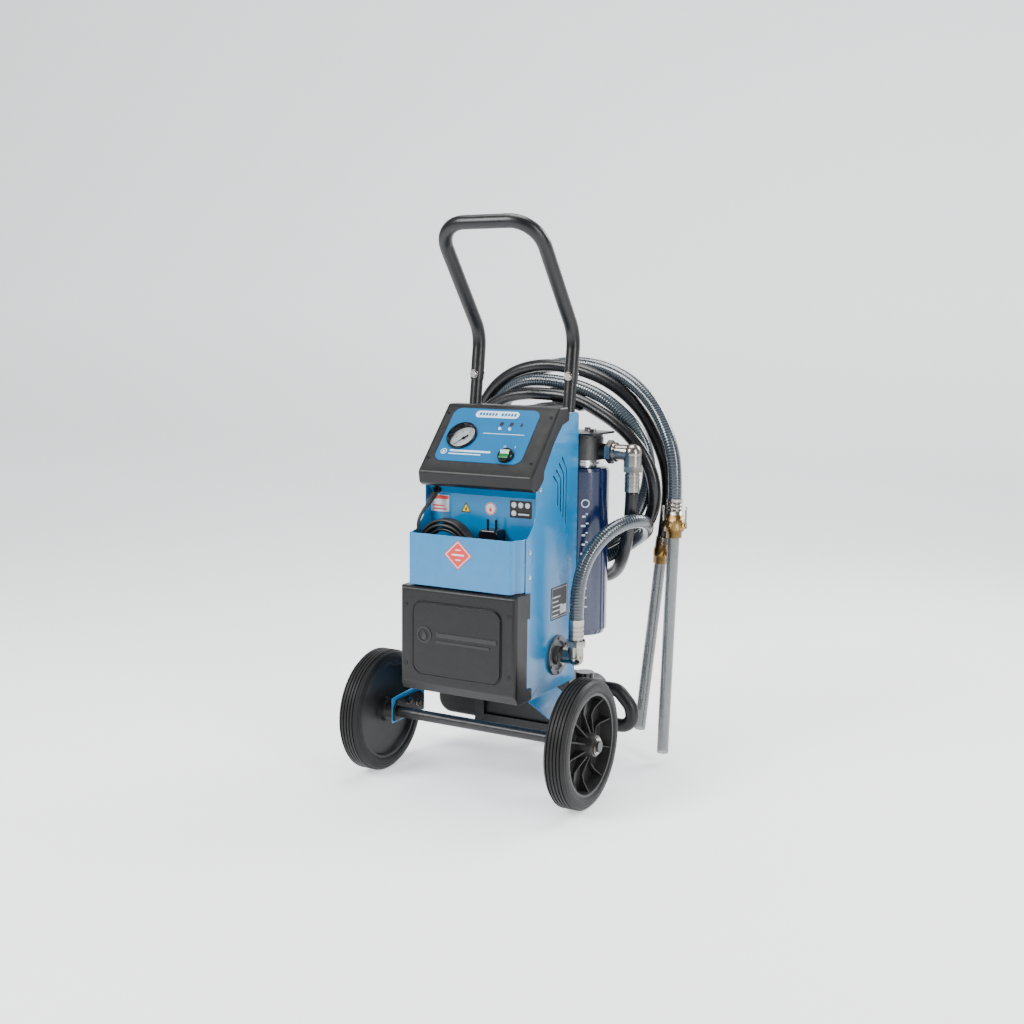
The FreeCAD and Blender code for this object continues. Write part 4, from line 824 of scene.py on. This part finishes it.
def dialMark(spec, k):  # one stroke of the scale, longer at each tenth
    radius = spec["radius"]
    share, half = spec["long"] if k % 10 == 0 else spec["middle"] if k % 5 == 0 else spec["short"]
    inner, outer = radius * share, radius * spec["outer"]
    a = math.radians(spec["start"] - spec["sweep"] * k / spec["steps"])
    ux, uy = math.cos(a), math.sin(a)
    return [(inner * ux - half * uy, inner * uy + half * ux), (inner * ux + half * uy, inner * uy - half * ux),
            (outer * ux + half * uy, outer * uy - half * ux), (outer * ux - half * uy, outer * uy + half * ux)]


def makeGaugeDial(spec):
    gx, gs = consoleFace["gauge"]
    radius = spec["radius"]
    turned = onConsole(spec["lift"])

    def place(u, v, w):
        return turned(gx + u, v - gs, w)

    def above(u, v, w):
        return place(u, v, w + spec["thick"])

    def arc(share, degrees):
        return [(share * radius * math.cos(math.radians(t)), share * radius * math.sin(math.radians(t)))
                for t in degrees]

    face = (disc(0, 0, radius, 64), disc(0, 0, spec["hole"], 64))
    flatPiece("dialFace", [face], place, spec["thick"], "dialFace", "label")
    marks = [dialMark(spec, k) for k in range(spec["steps"] + 1)]
    flatPiece("dialMarks", marks, above, 0.12, "darkInk", "black_gloss")
    words, reach = [], spec["figureReach"] * radius
    for k in range(spec["figures"]):
        a = math.radians(spec["start"] - spec["sweep"] * k / (spec["figures"] - 1))
        words.append((str(2 * k), reach * math.cos(a), reach * math.sin(a), spec["figureSize"]))
    figures("dialFigures", words, above, "darkInk", "black_gloss")
    outer, inner = spec["limit"]
    flatPiece("dialLimit", [arc(outer, range(-45, 12, 4)) + arc(inner, range(7, -48, -4))], above, 0.12, "redInk",
              "label")


switchX, switchS = consoleFace["switch"]
consoleMarks = {
    "labelBadge": {"finish": "paleInk", "lift": 1.02, "thick": 0.25, "shapes": [
        roundedBox(-54, 48, -35, -17.5, 8.6)]},
    "labelBadgeStrokes": {"finish": "labelBlue", "lift": 1.3, "thick": 0.12, "shapes": [
        roundedBox(-45 + 7.4 * k, -39.6 + 7.4 * k, -30, -22.4, 1.2) for k in range(12) if k != 6]},
    "lampSigns": {"finish": "darkInk", "lift": 1.02, "thick": 0.15, "shapes": [
        *(roundedBox(x - 4.2, x + 4.2, -54.5, -45.5, 1.4) for x in consoleFace["lamps"]), drop(63, -50, 4.6)]},
    "labelLine": {"finish": "paleInk", "lift": 1.02, "thick": 0.12, "shapes": [
        roundedBox(-18, 78, -76.5, -75.2, 0.6)]},
    "switchSigns": {"finish": "paleInk", "lift": 1.02, "thick": 0.12, "shapes": [
        (disc(switchX - 12, 24 - switchS, 2.6, 24), disc(switchX - 12, 24 - switchS, 1.9, 24)),
        roundedBox(switchX + 11.4, switchX + 12.4, 21 - switchS, 27 - switchS, 0.4)]},
    "labelMark": {"finish": "paleInk", "lift": 1.02, "thick": 0.15, "shapes": [
        (disc(-91, -127, 7.0, 32), disc(-91, -127, 5.4, 32)), drop(-91, -127, 3.4),
        roundedBox(-78, 18, -126, -121.5, 2.2), roundedBox(-78, -2, -133, -130.5, 1.2)]},
}


def makeConsoleMarks(specs):
    for name, spec in specs.items():
        flatPiece(name, spec["shapes"], onConsole(spec["lift"]), spec["thick"], spec["finish"], "label")


def facing(y, lift=0.15):  # a plane that faces the front
    return lambda u, v, w: at(u, y - w - lift, v)


def onSide(x):  # a plane that faces right
    return lambda u, v, w: at(x + w, u, v)


triangle = [(-55, 571), (-31, 571), (-43, 592)]
triangleInside = [(-52, 572.8), (-34, 572.8), (-43, 588.5)]
diamond = [(-34, 499), (-2, 469), (30, 499), (-2, 529)]


def diamondShrunk(share):
    return [(-2 + (u + 2) * share, 499 + (v - 499) * share) for u, v in diamond]


recessFace, overRecess = facing(20), facing(20, 0.35)
stickers = {
    "socketSticker": {"finish": "dialFace", "plane": recessFace, "thick": 0.15, "shapes": [
        roundedBox(-128, -84, 568, 603, 2)]},
    "socketBand": {"finish": "redInk", "plane": overRecess, "thick": 0.12, "shapes": [
        roundedBox(-127, -85, 594, 602, 1), roundedBox(-122, -90, 572, 575, 1),
        roundedBox(-122, -96, 579, 582, 1)]},
    "warningTriangle": {"finish": "yellowInk", "plane": recessFace, "thick": 0.15, "shapes": [triangle]},
    "warningTriangleRim": {"finish": "darkInk", "plane": overRecess, "thick": 0.12, "shapes": [
        (triangle, triangleInside), drop(-43, 578.5, 3.4)]},
    "roundSticker": {"finish": "dialFace", "plane": recessFace, "thick": 0.15, "shapes": [disc(15, 582, 13)]},
    "roundStickerRim": {"finish": "redInk", "plane": overRecess, "thick": 0.12, "shapes": [
        (disc(15, 582, 12.4), disc(15, 582, 10.6)), drop(15, 581, 4.4)]},
    "dutySticker": {"finish": "darkInk", "plane": recessFace, "thick": 0.15, "shapes": [
        roundedBox(60, 110, 568, 603, 2)]},
    "dutyStickerDiscs": {"finish": "dialFace", "plane": overRecess, "thick": 0.12, "shapes": [
        *(disc(69 + 15.5 * k, 594, 5.6) for k in range(3)), disc(69, 577, 5.6),
        roundedBox(79, 104, 574, 577, 1)]},
    "pocketDiamond": {"finish": "redInk", "plane": facing(-80), "thick": 0.15, "shapes": [diamond]},
    "pocketDiamondRim": {"finish": "paleInk", "plane": facing(-80, 0.35), "thick": 0.1, "shapes": [
        (diamondShrunk(0.9), diamondShrunk(0.84)), roundedBox(-16, 12, 497.5, 500.5, 1),
        roundedBox(-8, 4, 508, 510, 0.9), roundedBox(-8, 4, 488, 490, 0.9)]},
    "ratingPlate": {"finish": "darkInk", "plane": onSide(130.1), "thick": 0.5, "slot": "black_powder", "shapes": [
        roundedBox(71, 146, 352, 420, 3)]},
    "ratingPlateRows": {"finish": "dialFace", "plane": onSide(130.65), "thick": 0.1, "slot": "black_powder",
                        "shapes": [
        *(roundedBox(78, 104 + 9 * (k % 3), 359 + 9.5 * k, 361.4 + 9.5 * k, 0.9) for k in range(5)),
        roundedBox(112, 139, 360, 378, 1.5),
        (roundedBox(74, 143, 355, 417, 2), roundedBox(74.8, 142.2, 355.8, 416.2, 1.6))]},
}


def makeStickers(specs):
    for name, spec in specs.items():
        flatPiece(name, spec["shapes"], spec["plane"], spec["thick"], spec["finish"], spec.get("slot"))


coverMark = {"centre": (-74, 331), "ring": 17, "bars": [(-46, 94, 329, 338), (-46, 78, 317, 322)]}


def makeCoverMark(spec):
    front = (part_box("lower_cover")[0].y - axleY) * 1000
    u, v = spec["centre"]
    shapes = [(disc(u, v, spec["ring"], 40), disc(u, v, spec["ring"] - 3.4, 40)), drop(u, v - 0.5, 8.4)]
    shapes += [roundedBox(*bar, 2) for bar in spec["bars"]]
    flatPiece("coverMark", shapes, facing(front, -0.05), 1.2, "blackGloss", "black_moulded")


canMark = {"axis": (107, 254), "radius": 60.12, "turn": 35, "low": 352, "count": 11, "pitch": 20}


def makeCanMark(spec):
    def place(u, v, w):
        a = math.radians(spec["turn"]) + u / spec["radius"]
        r = spec["radius"] + w
        return at(spec["axis"][0] + r * math.sin(a), spec["axis"][1] - r * math.cos(a), v)

    shapes = []
    top = spec["low"] + spec["pitch"] * spec["count"] + 10
    for k in range(spec["count"]):
        low = spec["low"] + spec["pitch"] * k
        wide = 7.5 if k % 3 else 9.5
        shapes += [roundedBox(-wide, 0, low, low + 4.2, 1.4), roundedBox(0.6, wide * 0.7, low + 6, low + 9, 1.2)]
    shapes.append((disc(-1, top, 9, 36), disc(-1, top, 7, 36)))
    flatPiece("canMark", shapes, place, 0.15, "paleInk", "can_blue", "canister")


makeGaugeDial(gaugeDial)
makeConsoleMarks(consoleMarks)
makeStickers(stickers)
makeCoverMark(coverMark)
makeCanMark(canMark)
print("labels and dial ready")
